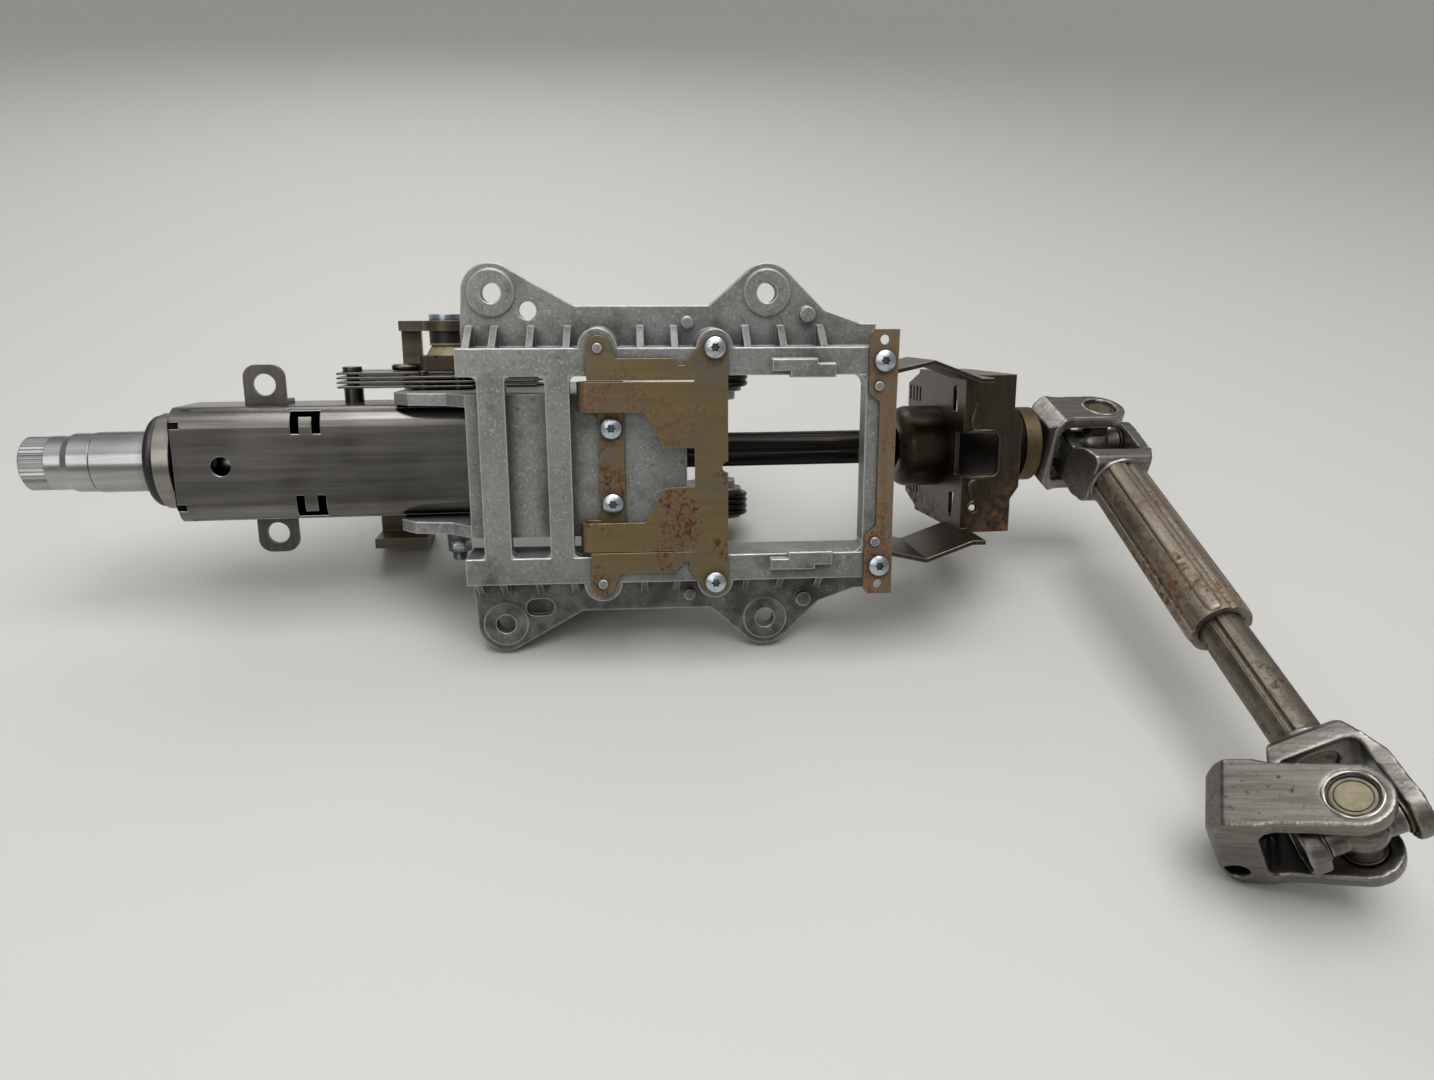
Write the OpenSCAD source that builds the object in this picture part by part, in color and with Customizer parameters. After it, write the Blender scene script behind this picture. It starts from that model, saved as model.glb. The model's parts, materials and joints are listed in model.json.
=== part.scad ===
// Car steering column lying on a bench: cast bracket, reach and tilt clamp, folded intermediate shaft

/* [Bench pose] */
// Lean of the bracket from upright as it lies on its two lower lugs
lean = 21.7; // [18:0.1:25]
// Angle between the column axis and the bracket plane
axis_tilt = 3.55; // [3:0.05:4]
// Turn of the steering shaft that stands the upper joint pins upright
shaft_roll = 21.7; // [0:0.1:40]
// Fold of the intermediate shaft at the upper joint
upper_fold = 91; // [60:0.1:91.5]
// Slope of the intermediate shaft
joint_pitch = 5.85; // [0:0.05:6.5]
// Turn of the lower joint about the shaft, against the upper joint
yoke_phase = 31.5; // [28:0.5:36]
// Swing of the lower cross in the inner yoke
lower_swing = -3.2; // [-4:0.1:2]
// Fold of the clamp yoke at the lower joint
lower_fold = 116; // [70:0.1:117]

/* [Bracket] */
// Distance between the left and right mounting lugs
lug_span = 122; // [118:0.5:126]
// Height of a lug hole above the middle plane
lug_z = 75.5; // [73:0.5:80]
// Outer radius of a lug
lug_r = 13; // [12:0.5:14]
// Thickness of a lug
lug_t = 9; // [8:0.5:11]
// Diameter of the lug holes
lug_hole_d = 9; // [8:0.1:10.5]
// Diameter of the machined face round a lug hole
lug_face_d = 20.5; // [18:0.5:22]
// Thickness of the flange between the lugs
flange_t = 6; // [4:0.5:8]
// Height of the flange edge above the middle plane
flange_z = 70; // [67:0.5:72]
// Frame edge left of the left lug hole
frame_left = 14; // [13.5:0.5:16]
// Frame edge right of the left lug hole
frame_right = 176; // [175:0.5:176.5]
// Inner edge of a rail
rail_in = 40; // [39:0.5:42]
// Outer edge of a rail
rail_out = 52; // [50:0.5:54]
// How far the rail face stands in front of the lug faces
face_y = 18; // [16:0.5:20]
// Thickness of the crossbars
bar_t = 8; // [6:0.5:9]
// Width of the first crossbar
bar_1_w = 11.8; // [9:0.2:13]
// Start of the second crossbar
bar_2_x = 23.6; // [20:0.2:26]
// Width of the second crossbar
bar_2_w = 10.4; // [8:0.2:12]
// Width of the crossbar at the firewall end
end_bar_w = 12; // [10:0.5:14]
// Thickness of the gusset ribs
rib_t = 3; // [2:0.25:4]
// Wall left round the pockets behind the rails
pocket_wall = 3; // [2:0.25:4]

/* [Crash plate] */
// Thickness of the crash plate
plate_t = 1.5; // [1:0.1:2]
// Place of the riveted tabs along the column
tab_x = 46.5; // [45:0.5:48]
// Place of the plate screws along the column
plate_screw_x = 97; // [95:0.5:99]
// Height of the tabs and plate screws above the middle plane
plate_fix_z = 52; // [51:0.25:53]
// Right edge of the plate
plate_right = 102.7; // [102:0.1:105]
// Inner edge of the folded arms
arm_in = 24.5; // [23:0.5:26]
// Outer edge of the folded arms
arm_out = 37.5; // [36:0.5:38]
// Left end of the folded arms
arm_left = 37; // [36:0.5:38]
// Width of the strap on the carriage
strap_w = 11; // [10:0.5:13]
// Left edge of the strap
strap_x = 46; // [45:0.5:48]
// Height of the strap screws above the middle plane
strap_screw_z = 17; // [14:0.5:18]

/* [End strip] */
// Width of the strip
strip_w = 13; // [12:0.5:15]
// How far the strip stands past the frame
strip_over = 2; // [1.5:0.25:3]
// Height of the strip ends above the middle plane
strip_z = 59.5; // [58:0.5:62]
// Height of the strip screws above the middle plane
strip_screw_z = 46; // [45:0.5:47]
// Height of the cast pins above the middle plane
strip_pin_z = 35; // [33:0.5:37]

/* [Screws] */
// Thread diameter of the plate screws
screw_d = 5; // [4:0.5:6]
// Head diameter of the plate screws
head_d = 9.2; // [8:0.2:9.8]
// Head height of the plate screws
head_h = 3.4; // [2.5:0.1:4]
// Length of the plate screws under the head
screw_len = 12; // [8:0.5:14]
// Diameter of the cast and riveted pins
pin_d = 4.2; // [3.5:0.1:5]

/* [Carriage] */
// Thickness of the carriage front wall
carriage_t = 5; // [4:0.5:6]
// Thickness of the carriage cheeks
cheek_t = 5.5; // [4.5:0.25:6]
// Left end of the cheeks, left of the left lug hole
cheek_left = 47; // [46:0.5:50]
// Right end of the carriage front wall
carriage_right = 85; // [80:0.5:88]
// Depth of the cheeks behind the lug faces
cheek_back = 87; // [86.5:0.5:88]

/* [Jacket] */
// Outer width of the jacket across the cheeks
jacket_w = 52; // [50:0.5:54]
// Outer depth of the jacket
jacket_d = 50; // [46:0.5:51]
// Corner radius of the jacket
jacket_r = 9; // [7:0.5:12]
// Sheet thickness of the jacket
jacket_t = 2; // [1.5:0.1:2.5]
// Length of the jacket
jacket_len = 200; // [196:1:203]
// Wheel end of the jacket from the tilt pivot
jacket_start = -350.5; // [-352:0.5:-349]
// Place of the ears behind the wheel end of the jacket
ear_place = 36; // [33:0.5:38]
// Width of the mounting ears
ear_w = 18.5; // [17:0.5:21]
// Height of the ear holes above the middle plane
ear_hole_z = 35; // [34:0.5:37]
// Diameter of the ear holes
ear_hole_d = 10; // [8:0.5:11]
// Sheet thickness of the ears
ear_t = 2; // [1.5:0.1:3]

/* [Steering shaft] */
// Wheel end of the steering shaft from the tilt pivot
shaft_start = -421.3; // [-423:0.1:-420]
// Length of the wheel spline
spline_len = 11.5; // [10:0.5:14]
// Outer diameter of the wheel spline
spline_d = 25; // [24:0.5:26]
// Number of spline teeth
spline_n = 40; // [30:1:48]
// Diameter of the upper shaft
shaft_d = 28; // [27:0.5:29]
// Firewall end of the upper shaft from the tilt pivot
shaft_end = -146; // [-150:0.5:-143]
// Thread core diameter of the wheel bolt hole
bolt_hole_d = 14; // [12:0.5:15]
// Depth of the wheel bolt hole
bolt_hole_h = 30; // [25:1:40]
// Diameter of the fluted lower shaft
lower_d = 17; // [16:0.25:17.5]
// Number of flutes on the lower shaft
flute_n = 6; // [4:1:8]
// Overlap of the lower shaft inside the upper shaft
overlap = 70; // [60:1:80]

/* [Bearings] */
// Outer diameter of the column bearings
bearing_od = 42; // [41:0.5:43]
// Width of the column bearings
bearing_w = 11; // [9:0.5:12]
// Ball diameter
ball_d = 4.6; // [4:0.1:5]
// Number of balls in a bearing
ball_n = 12; // [8:1:14]
// Diameter of the collar in front of the jacket
collar_d = 44.5; // [44:0.5:46]

/* [Clamp] */
// Place of the clamp bolt along the axis from the tilt pivot
clamp_x = -234.5; // [-236:0.5:-233]
// Place of the clamp bolt behind the axis
clamp_y = 31; // [30.5:0.25:32]
// Diameter of the clamp bolt
clamp_d = 8; // [7:0.5:8.5]
// Thickness of one lamella
lamella_t = 1; // [0.8:0.05:1]
// Number of reach lamellae
reach_n = 4; // [3:1:4]
// Thickness of the cam discs
cam_t = 7; // [6:0.5:8]
// Thickness of the lever plate
lever_t = 5; // [4:0.5:6]
// Travel of the column when pulled out
reach_out = 40; // [30:1:42]
// Travel of the column when pushed in
reach_in = 12; // [8:1:14]
// Tilt towards the bracket
tilt_up = 1.5; // [1:0.1:1.5]
// Tilt away from the bracket
tilt_down = 3; // [2:0.1:3]

/* [Balance springs] */
// Wire diameter of a balance spring
wire_d = 3; // [2.5:0.1:3.2]
// Mean coil radius of a balance spring
coil_r = 13; // [11:0.5:13.5]
// Number of turns in a balance spring
coil_n = 3; // [2:1:3]

/* [Lower bearing] */
// Place of the tilt pivot right of the left lug hole
pivot_x = 205; // [204:0.5:206]
// Place of the tilt pivot behind the lug faces
pivot_y = 50; // [49:0.5:51]
// Diameter of the pivot ball
ball_joint_d = 32; // [31:0.5:33]
// Diameter of the bearing seat on the lower shaft
seat_d = 15; // [14:0.25:15.5]
// Outer diameter of the bearing dome
dome_d = 41; // [40.5:0.5:42]
// Diameter of the dome opening
dome_open_d = 27; // [26:0.5:28]
// Sheet thickness of the dome
dome_t = 1.8; // [1.5:0.1:2]

/* [Pivot bracket] */
// Sheet thickness of the pivot bracket
pan_t = 2; // [1.5:0.1:2.5]
// Face of the bearing plate from the tilt pivot
pan_x = 11; // [10.5:0.25:12]
// Length of the pivot bracket along the axis
pan_len = 25; // [24:0.5:28]
// Half depth of the bearing plate
pan_half_y = 41; // [39:0.5:43]
// Half height of the bearing plate
pan_half_z = 38; // [37:0.5:40]
// Depth of the folded arms behind the lug faces
fold_back = 28; // [24:0.5:34]
// Outer diameter of the zinc-plated guide tube
tube_od = 38; // [36:0.5:39]
// Inner diameter of the guide tube
tube_id = 30; // [29.5:0.5:32]
// End of the guide tube from the tilt pivot
tube_end = 62; // [58:0.5:63]

/* [Universal joints] */
// Place of the upper joint from the tilt pivot
joint_x = 98; // [97:0.5:100]
// Inner half gap between the yoke ears
ear_in = 14.5; // [14:0.1:15.5]
// Outer half width over the yoke ears
ear_out = 21; // [20.5:0.1:22]
// Half width of the ears on the end yokes
wide_eye = 12.5; // [12:0.25:13]
// Half width of the ears on the shaft yokes
slim_eye = 10.5; // [10:0.25:10.75]
// Depth of the yoke forks from the joint centre
crotch = 26; // [25:0.25:27]
// Depth of the clamp yoke fork
clamp_crotch = 30; // [29.5:0.5:32]
// Length of the clamp yoke from the joint centre
clamp_yoke_len = 47; // [46:0.5:50]
// Diameter of the bearing cups
cup_d = 15; // [14:0.25:15.5]
// Diameter of the cross journals
journal_d = 10; // [9:0.25:10.5]
// Diameter of the pinion bore in the clamp yoke
pinion_d = 17; // [15:0.5:18]
// Diameter of the pinch bolt hole
pinch_d = 8.5; // [8:0.1:9]

/* [Intermediate shaft] */
// Distance between the two joint centres
shaft_len = 238.6; // [236:0.2:244]
// Outer diameter of the outer tube
outer_d = 26.25; // [25.5:0.25:26.5]
// Diameter of the inner shaft
inner_d = 19; // [18:0.25:19.5]
// End of the outer tube from the upper joint
outer_end = 141; // [130:1:146]
// Travel of the inner shaft when pushed in
push_in = 30; // [20:1:32]
// Travel of the inner shaft when pulled out
pull_out = 40; // [20:1:45]

/* [Hidden] */
$fn = 48;
eps = 0.01;
// Clearances: pressed seat, running fit, sliding fit and free gap
seat = 0.02;
run = 0.05;
slide = 0.3;
gap = 0.5;
lug_low = (lug_z + lug_r) * cos(lean) + lug_t * sin(lean);
bench_shift = [-59.52, 41.90, lug_low];
bar_1_x = -bar_1_w / 2 + 0.5;
end_bar_x = frame_right - end_bar_w;
bar_back = bar_t - face_y;
flange_front = 1;
flange_back = flange_front + flange_t;
plate_front = -face_y - plate_t;
strap_front = bar_back - plate_t;
bend_r = (strap_front - plate_front + plate_t) / 2;
plate_edge_z = 47.5;
strip_right = frame_right + strip_over;
strip_left = strip_right - strip_w;
strip_x = strip_left + strip_w / 2;
cheek_in = jacket_w / 2 + gap;
cheek_out = cheek_in + cheek_t;
carriage_back = bar_back + carriage_t;
jacket_end_x = pivot_x + jacket_start + jacket_len;
arm_x = jacket_end_x + reach_in + 3.5;
arm_w = 8;
spring_x = 109;
spring_y = 92;
spring_leg = 15;
coil_steps = 12;
spring_pin_d = 2 * coil_r * cos(180 / coil_steps) - wire_d - 2 * run;
spring_z = cheek_in + 1.5;
lamella_pitch = lamella_t + 0.08;
stack_n = 2 * reach_n - 1;
stack_z = cheek_out + 0.1;
stack_top = stack_z + stack_n * lamella_pitch;
slot_w = clamp_d + 1.4;
reach_slot_w = clamp_d + 2 * slide;
post_x = -278.5;
post_y = 14;
post_d = 6;
lamella_start = post_x - 6.5;
lamella_front = post_y - 6;
lamella_back = clamp_y + 12;
reach_slot_left = clamp_x - reach_in;
reach_slot_right = clamp_x + reach_out;
lamella_end = reach_slot_right + 10;
anchor_y = -6;
anchor_dx = 8;
tilt_plate_w = 30;
cam_w = 28;
cam_top = stack_top + 0.1 + cam_t;
hub_top = cam_top + 0.1 + 5 + cam_t;
lever_top = hub_top + lever_t;
clamp_head_h = 3;
thrust_t = 2;
thrust_w = 52;
thrust_low = cheek_out + 0.2 + thrust_t;
nut_h = 7;
nut_w = 13;
bolt_low = thrust_low + nut_h + 6;
web_left = -44;
neck_left = -27;
web_right = -17;
web_y = 27.5;
foot_z = 53;
foot_len = 22;
carrier_len = 16;
collar_len = 8;
seal_x = jacket_start - collar_len - 2;
bearing_1_x = jacket_start + 3;
bearing_2_x = jacket_start + jacket_len - bearing_w - 4;
race_r = (shaft_d + bearing_od) / 4;
race_t = 2.2;
tooth_h = 0.5;
flute_r = 1.6;
flute_place = lower_d / 2 + 0.7;
lower_start = shaft_end - overlap;
yoke_base = 6;
upper_hub = [15, 14];
tube_hub = [14, 14];
inner_hub = [12, 12.5];
clamp_hub = [14, 14];
blunt_taper = 7;
long_taper = 18;
shaft_yoke_base = 10;
cup_in = ear_in - 1;
cup_top = ear_out - 1.4;
cup_floor = 2;
crotch_r = 4;
socket_half = 7;
socket_d = ball_joint_d + 4.8;
arm_kink_x = 194.5;
arm_kink_z = 46;
arm_start_x = frame_right + gap;
key_r = 1.5;
groove_place = inner_d / 2 + 0.8;
inner_start = crotch + shaft_yoke_base + push_in + 4;

// Point on a circle where the line from p touches it
function tangent(c, r, p, side) =
    let (d = p - c, turn = atan2(d[1], d[0]) + side * acos(r / norm(d)))
    c + r * [cos(turn), sin(turn)];

// Bench frame: the column leans back on its lower lugs
module lie() {
    translate(bench_shift) rotate([-lean, 0, 0]) children();
}

// Column axis frame with its origin at the tilt pivot
module on_axis() {
    lie() translate([pivot_x, pivot_y, 0]) rotate([0, 0, axis_tilt]) children();
}

// Upper joint centre with the yoke pins along z
module at_upper_joint() {
    on_axis() translate([joint_x, 0, 0]) rotate([shaft_roll, 0, 0]) children();
}

// Upper cross, turned by the fold
module at_upper_cross() {
    at_upper_joint() rotate([0, 0, -upper_fold]) children();
}

// Intermediate shaft, x along the shaft from the upper joint
module along_shaft() {
    at_upper_cross() rotate([0, joint_pitch, 0]) children();
}

// Lower joint centre with the inner yoke pins along y
module at_lower_joint() {
    along_shaft() translate([shaft_len, 0, 0]) rotate([yoke_phase, 0, 0]) children();
}

// Lower cross, swung in the inner yoke
module at_lower_cross() {
    at_lower_joint() rotate([0, lower_swing, 0]) children();
}

// Clamp yoke, x along its pinion bore
module at_clamp_yoke() {
    at_lower_cross() rotate([0, 0, -lower_fold]) children();
}

// Slab with an outline in the x and z plane between two depths
module slab(front, back) {
    translate([0, back, 0]) rotate([90, 0, 0]) linear_extrude(height = back - front) children();
}

// Upper copy and its mirror below the middle plane
module both() {
    children();
    mirror([0, 0, 1]) children();
}

// Same for outlines
module both_2d() {
    children();
    mirror([0, 1]) children();
}

// Rectangle with round corners
module round_rect(x, y, r) {
    square([x - 2 * r, y], center = true);
    square([x, y - 2 * r], center = true);
    for (sx = [-1, 1], sy = [-1, 1]) {
        translate([sx * (x / 2 - r), sy * (y / 2 - r)]) circle(r);
    }
}

// Slot outline with round ends from a to b along x
module slot_x(a, b, w) {
    translate([a, -w / 2]) square([b - a, w]);
    translate([a, 0]) circle(d = w);
    translate([b, 0]) circle(d = w);
}

// Cylinder along the x axis from a to b
module rod(a, b, d) {
    translate([a, 0, 0]) rotate([0, 90, 0]) cylinder(h = b - a, d = d);
}

// Cone along the x axis from a to b
module cone(a, b, d_a, d_b) {
    translate([a, 0, 0]) rotate([0, 90, 0]) cylinder(h = b - a, d1 = d_a, d2 = d_b);
}

// Extrusion along the x axis from a to b; outline x is depth, outline y is height
module bar(a, b) {
    translate([a, 0, 0]) rotate([90, 0, 90]) linear_extrude(height = b - a) children();
}

// Shaft outline with round flutes
module fluted(d, n, r, place) {
    difference() {
        circle(d = d);
        for (i = [0:n - 1]) {
            rotate(i * 360 / n) translate([place, 0]) circle(r, $fn = 24);
        }
    }
}

// Mounting bracket

// Upper half of the flange outline, with both lugs
module flange_outline() {
    bite_r = lug_r - 0.1;
    left = [0, lug_z];
    right = [lug_span, lug_z];
    corner = [-frame_left, rail_out + 8];
    dip_1 = [36, flange_z];
    dip_2 = [lug_span - 26, flange_z];
    dip_3 = [lug_span + 26, flange_z - 2];
    polygon([
        [-frame_left, rail_in], corner,
        tangent(left, bite_r, corner, -1), tangent(left, bite_r, dip_1, 1), dip_1, dip_2,
        tangent(right, bite_r, dip_2, -1), tangent(right, bite_r, dip_3, 1), dip_3,
        [frame_right - 11, rail_out + 10], [frame_right - 4, rail_out + 10], [frame_right - 4, rail_in]]);
}

// Gusset rib between the rail wall and the flange
module gusset(x, reach) {
    bar(x - rib_t / 2, x + rib_t / 2) {
        polygon([
            [-face_y + 3, rail_out - 1], [flange_front + 1, rail_out - 1],
            [flange_front + 1, rail_out + reach], [flange_front - 2, rail_out + reach]]);
    }
}

module half_bracket() {
    ribs = [-10, 1, 17, 33, 65, 80, 112, 128, 146];
    slab(flange_front, flange_back) flange_outline();
    slab(0, lug_t) {
        translate([0, lug_z]) circle(d = lug_face_d);
        translate([lug_span, lug_z]) circle(d = lug_face_d);
    }
    slab(flange_front, lug_t) {
        translate([0, lug_z]) circle(lug_r);
        translate([lug_span, lug_z]) circle(lug_r);
    }
    slab(-face_y, flange_back) {
        translate([-frame_left, rail_in]) square([frame_right + frame_left, rail_out - rail_in]);
        translate([tab_x, plate_fix_z]) circle(8.5);
        translate([plate_screw_x, plate_fix_z]) circle(8);
    }
    for (x = ribs) {
        gusset(x, 9);
    }
    // Cast pins on the flange and the hooked guide block on the rail
    slab(-3, flange_front + 1) {
        translate([86, rail_out + 10.5]) circle(2.6);
        translate([lug_span + 18, rail_out + 14]) circle(3.4);
    }
    slab(-face_y - 2.5, -face_y + 2) {
        translate([lug_span, rail_in + 2]) square([20, 5]);
        translate([lug_span + 8, rail_in - 1]) square([20, 6]);
    }
}

module half_bracket_cuts() {
    pocket_d = rail_out - rail_in - 2 * pocket_wall;
    pockets = 5;
    step = (frame_right + frame_left) / pockets;
    for (x = [0, lug_span]) {
        translate([x, 0, lug_z]) rotate([90, 0, 0]) {
            cylinder(h = 4 * lug_t, d = lug_hole_d, center = true);
        }
    }
    // Pockets cast into the rails from behind
    for (i = [0:pockets - 1]) {
        translate([-frame_left + i * step + pocket_wall, -face_y + screw_len + 3, rail_in + pocket_wall]) {
            cube([step - 2 * pocket_wall, 2 * face_y, pocket_d]);
        }
    }
    slab(-face_y - eps, -face_y + screw_len + 1) {
        translate([plate_screw_x, plate_fix_z]) circle(d = screw_d + 2 * run);
        translate([tab_x, plate_fix_z]) circle(d = pin_d + 2 * seat);
        translate([strip_x, strip_screw_z]) circle(d = screw_d + 2 * run);
    }
}

module mounting_bracket() {
    locator = [15.6, 68];
    color("silver") lie() difference() {
        union() {
            both() half_bracket();
            slab(-face_y, bar_back) {
                for (b = [[bar_1_x, bar_1_w], [bar_2_x, bar_2_w]]) {
                    translate([b[0], -rail_in - 1]) square([b[1], 2 * rail_in + 2]);
                }
            }
            slab(-face_y, bar_back + 3) {
                translate([end_bar_x, -rail_in - 1]) square([end_bar_w, 2 * rail_in + 2]);
            }
            // Cast pins that locate the end strip
            both() slab(-face_y - plate_t - 1, -face_y + 1) {
                translate([strip_x - 2, strip_pin_z]) circle(d = pin_d);
            }
        }
        both() half_bracket_cuts();
        // Locating hole at the top, oblong pocket at the bottom
        translate([locator[0], 0, locator[1]]) rotate([90, 0, 0]) cylinder(h = 4 * lug_t, d = 8, center = true);
        translate([0, 0, -locator[1]]) slab(-1, flange_front + flange_t / 2) {
            translate([locator[0] - 2, 0]) slot_x(0, 5, 8);
        }
    }
}

// Crash plate

module plate_outline() {
    slit_w = 0.6;
    slit_x = 88;
    difference() {
        union() {
            both_2d() {
                polygon([
                    [slit_x, -eps], [slit_x, 8.5], [74.5, 9], [66, arm_in],
                    [arm_left + bend_r, arm_in], [arm_left + bend_r, arm_out], [tab_x - 5, arm_out],
                    [tab_x - 5, plate_fix_z], [tab_x + 5.7, plate_fix_z], [tab_x + 8, plate_edge_z],
                    [79, plate_edge_z], [81, 44.5], [84, 44.5], [plate_screw_x - 4, plate_fix_z + 4],
                    [plate_screw_x, plate_fix_z + 5.6], [plate_right, plate_fix_z + 2], [plate_right, -eps]]);
                translate([tab_x + 0.35, plate_fix_z]) circle(5.35);
                translate([plate_screw_x, plate_fix_z]) circle(5.6);
            }
        }
        both_2d() {
            translate([0, arm_out]) square([slit_x, slit_w]);
            translate([tab_x, plate_fix_z]) circle(d = pin_d + 2 * seat);
            translate([plate_screw_x, plate_fix_z]) circle(d = screw_d + 0.6);
        }
        translate([plate_right, 0]) circle(2.5);
        translate([84, -44]) circle(1.6);
    }
}

// Half ring that turns an arm back under itself
module arm_bend() {
    translate([arm_left + bend_r, plate_front + bend_r, arm_in]) {
        difference() {
            cylinder(h = arm_out - arm_in, r = bend_r);
            translate([0, 0, -1]) cylinder(h = arm_out - arm_in + 2, r = bend_r - plate_t);
            translate([0, -2 * bend_r, -1]) cube([4 * bend_r, 4 * bend_r, arm_out - arm_in + 2]);
        }
    }
}

module crash_plate() {
    color("darkkhaki") lie() {
        slab(plate_front, -face_y) plate_outline();
        both() arm_bend();
        slab(strap_front, bar_back) difference() {
            union() {
                translate([strap_x, -arm_in - 1]) square([strap_w, 2 * arm_in + 2]);
                both_2d() translate([arm_left + bend_r, arm_in]) {
                    square([strap_x + strap_w - arm_left - bend_r, arm_out - arm_in]);
                }
            }
            both_2d() translate([strap_x + strap_w / 2, strap_screw_z]) circle(d = screw_d + 0.6);
        }
    }
}

module plate_rivets() {
    color("gray") lie() both() translate([tab_x, -face_y + 8, plate_fix_z]) rotate([90, 0, 0]) {
        cylinder(h = 8 + plate_t + 1.2, d = pin_d);
    }
}

// Pan head screw with a six-lobe recess, pointing along +y
module pan_screw() {
    recess_r = 1.9;
    rotate([-90, 0, 0]) {
        cylinder(h = screw_len, d = screw_d);
        difference() {
            translate([0, 0, -head_h]) intersection() {
                cylinder(h = head_h, d = head_d);
                translate([0, 0, head_d]) sphere(head_d);
            }
            translate([0, 0, -head_h - eps]) {
                cylinder(h = 1.8, r = recess_r - 0.4, $fn = 24);
                for (i = [0:5]) {
                    rotate(i * 60) translate([recess_r - 0.4, 0, 0]) cylinder(h = 1.8, r = 0.5, $fn = 16);
                }
            }
        }
    }
}

module plate_screws() {
    color("lightsteelblue") lie() both() {
        translate([plate_screw_x, plate_front, plate_fix_z]) pan_screw();
        translate([strip_x, plate_front, strip_screw_z]) pan_screw();
        translate([strap_x + strap_w / 2, strap_front, strap_screw_z]) pan_screw();
    }
}

// End strip

module end_strip() {
    waist = 28;
    upper = [
        [strip_left + 5, waist], [strip_left, waist + 4], [strip_left, strip_z - 2],
        [strip_left + 2, strip_z], [strip_right, strip_z], [strip_right - 0.5, waist]];
    lower = [for (i = [len(upper) - 1:-1:0]) [upper[i][0], -upper[i][1]]];
    color("sienna") lie() slab(plate_front, -face_y) difference() {
        polygon(concat(upper, lower));
        both_2d() {
            translate([strip_x, strip_screw_z]) circle(d = screw_d + 0.6);
            translate([strip_x - 2, strip_pin_z]) circle(d = pin_d + 0.6);
            translate([strip_x, strip_z - 4.5]) circle(d = pin_d);
        }
    }
}

// Crash carriage

// Straight slot that lets the clamp bolt follow the tilt
module tilt_slot(h) {
    low = [clamp_x * cos(tilt_up) - clamp_y * sin(tilt_up), clamp_x * sin(tilt_up) + clamp_y * cos(tilt_up)];
    high = [clamp_x * cos(tilt_down) + clamp_y * sin(tilt_down),
        -clamp_x * sin(tilt_down) + clamp_y * cos(tilt_down)];
    run_len = norm(high - low);
    translate(low) rotate(atan2(high[1] - low[1], high[0] - low[0])) {
        linear_extrude(height = h, center = true) slot_x(0, run_len, slot_w);
    }
}

module cheek() {
    translate([0, 0, cheek_in]) linear_extrude(height = cheek_t) polygon([
        [-frame_left + 2, bar_back], [arm_x + arm_w, bar_back], [arm_x + arm_w, cheek_back - 10],
        [arm_x - 10, cheek_back],
        [-cheek_left + 12, cheek_back], [-cheek_left, cheek_back - 14], [-cheek_left, 12],
        [-cheek_left + 8, 3], [-frame_left - 8, 0]]);
    // Arm and pin that carry the balance spring
    translate([0, 0, cheek_in - 4.5]) linear_extrude(height = 6) {
        polygon([
            [arm_x, 40], [arm_x + arm_w, 40], [spring_x + 6, spring_y - 6], [spring_x - 4, spring_y + 7],
            [arm_x, 70]]);
        translate([spring_x, spring_y]) circle(7.5);
    }
    translate([spring_x, spring_y, cheek_in]) cylinder(h = 1.5 + wire_d * (coil_n + 2), d = spring_pin_d);
}

module crash_carriage() {
    corner = 14;
    color("lightgray") difference() {
        lie() difference() {
            union() {
                slab(bar_back, carriage_back) polygon([
                    [-frame_left + 2, -cheek_out], [carriage_right - corner, -cheek_out],
                    [carriage_right, corner - cheek_out], [carriage_right, cheek_out - corner],
                    [carriage_right - corner, cheek_out], [-frame_left + 2, cheek_out]]);
                both() cheek();
                // Bosses behind the strap screws
                both() translate([strap_x + strap_w / 2, carriage_back + 6, strap_screw_z]) {
                    rotate([90, 0, 0]) cylinder(h = 7, r = 5);
                }
            }
            both() translate([strap_x + strap_w / 2, 0, strap_screw_z]) rotate([90, 0, 0]) {
                cylinder(h = 30, d = screw_d + 2 * run, center = true);
            }
        }
        on_axis() tilt_slot(4 * cheek_out);
        on_axis() anchor_places() cylinder(h = cheek_out + 1, d = post_d - 1 + 2 * seat);
    }
}

// Balance springs

// Wire of one coil with two straight legs, as rings of points
function coil_path(turns, leg) =
    let (last = coil_steps * (turns + 0.25)) [
    for (i = [-1:last + 1]) let (
        step = max(0, min(last, i)),
        a = step * 360 / coil_steps - 90,
        out = i < 0 ? -leg : i > last ? leg : 0,
        z = step / coil_steps * (wire_d + 0.2))
    [[coil_r * cos(a) - out * sin(a), coil_r * sin(a) + out * cos(a), z], [cos(a), sin(a), 0]]];

module swept_wire(path, d) {
    sides = 8;
    points = [for (p = path, k = [0:sides - 1])
        p[0] + d / 2 * (cos(k * 360 / sides) * p[1] + [0, 0, sin(k * 360 / sides)])];
    last = len(path) - 1;
    walls = [for (i = [0:last - 1], k = [0:sides - 1]) let (n = (k + 1) % sides)
        each [[i * sides + k, i * sides + n, (i + 1) * sides + n],
            [i * sides + k, (i + 1) * sides + n, (i + 1) * sides + k]]];
    ends = [[for (k = [sides - 1:-1:0]) k], [for (k = [0:sides - 1]) last * sides + k]];
    polyhedron(points, concat(ends, walls));
}

module balance_springs() {
    color("dimgray") lie() both() translate([spring_x, spring_y, spring_z + wire_d / 2 + slide]) {
        swept_wire(coil_path(coil_n, spring_leg), wire_d);
    }
}

// Lamella clamp

// Places of the two pins that anchor the tilt lamellae on the cheek
module anchor_places() {
    for (s = [-1, 1]) {
        translate([clamp_x + s * anchor_dx, anchor_y, 0]) children();
    }
}

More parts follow.
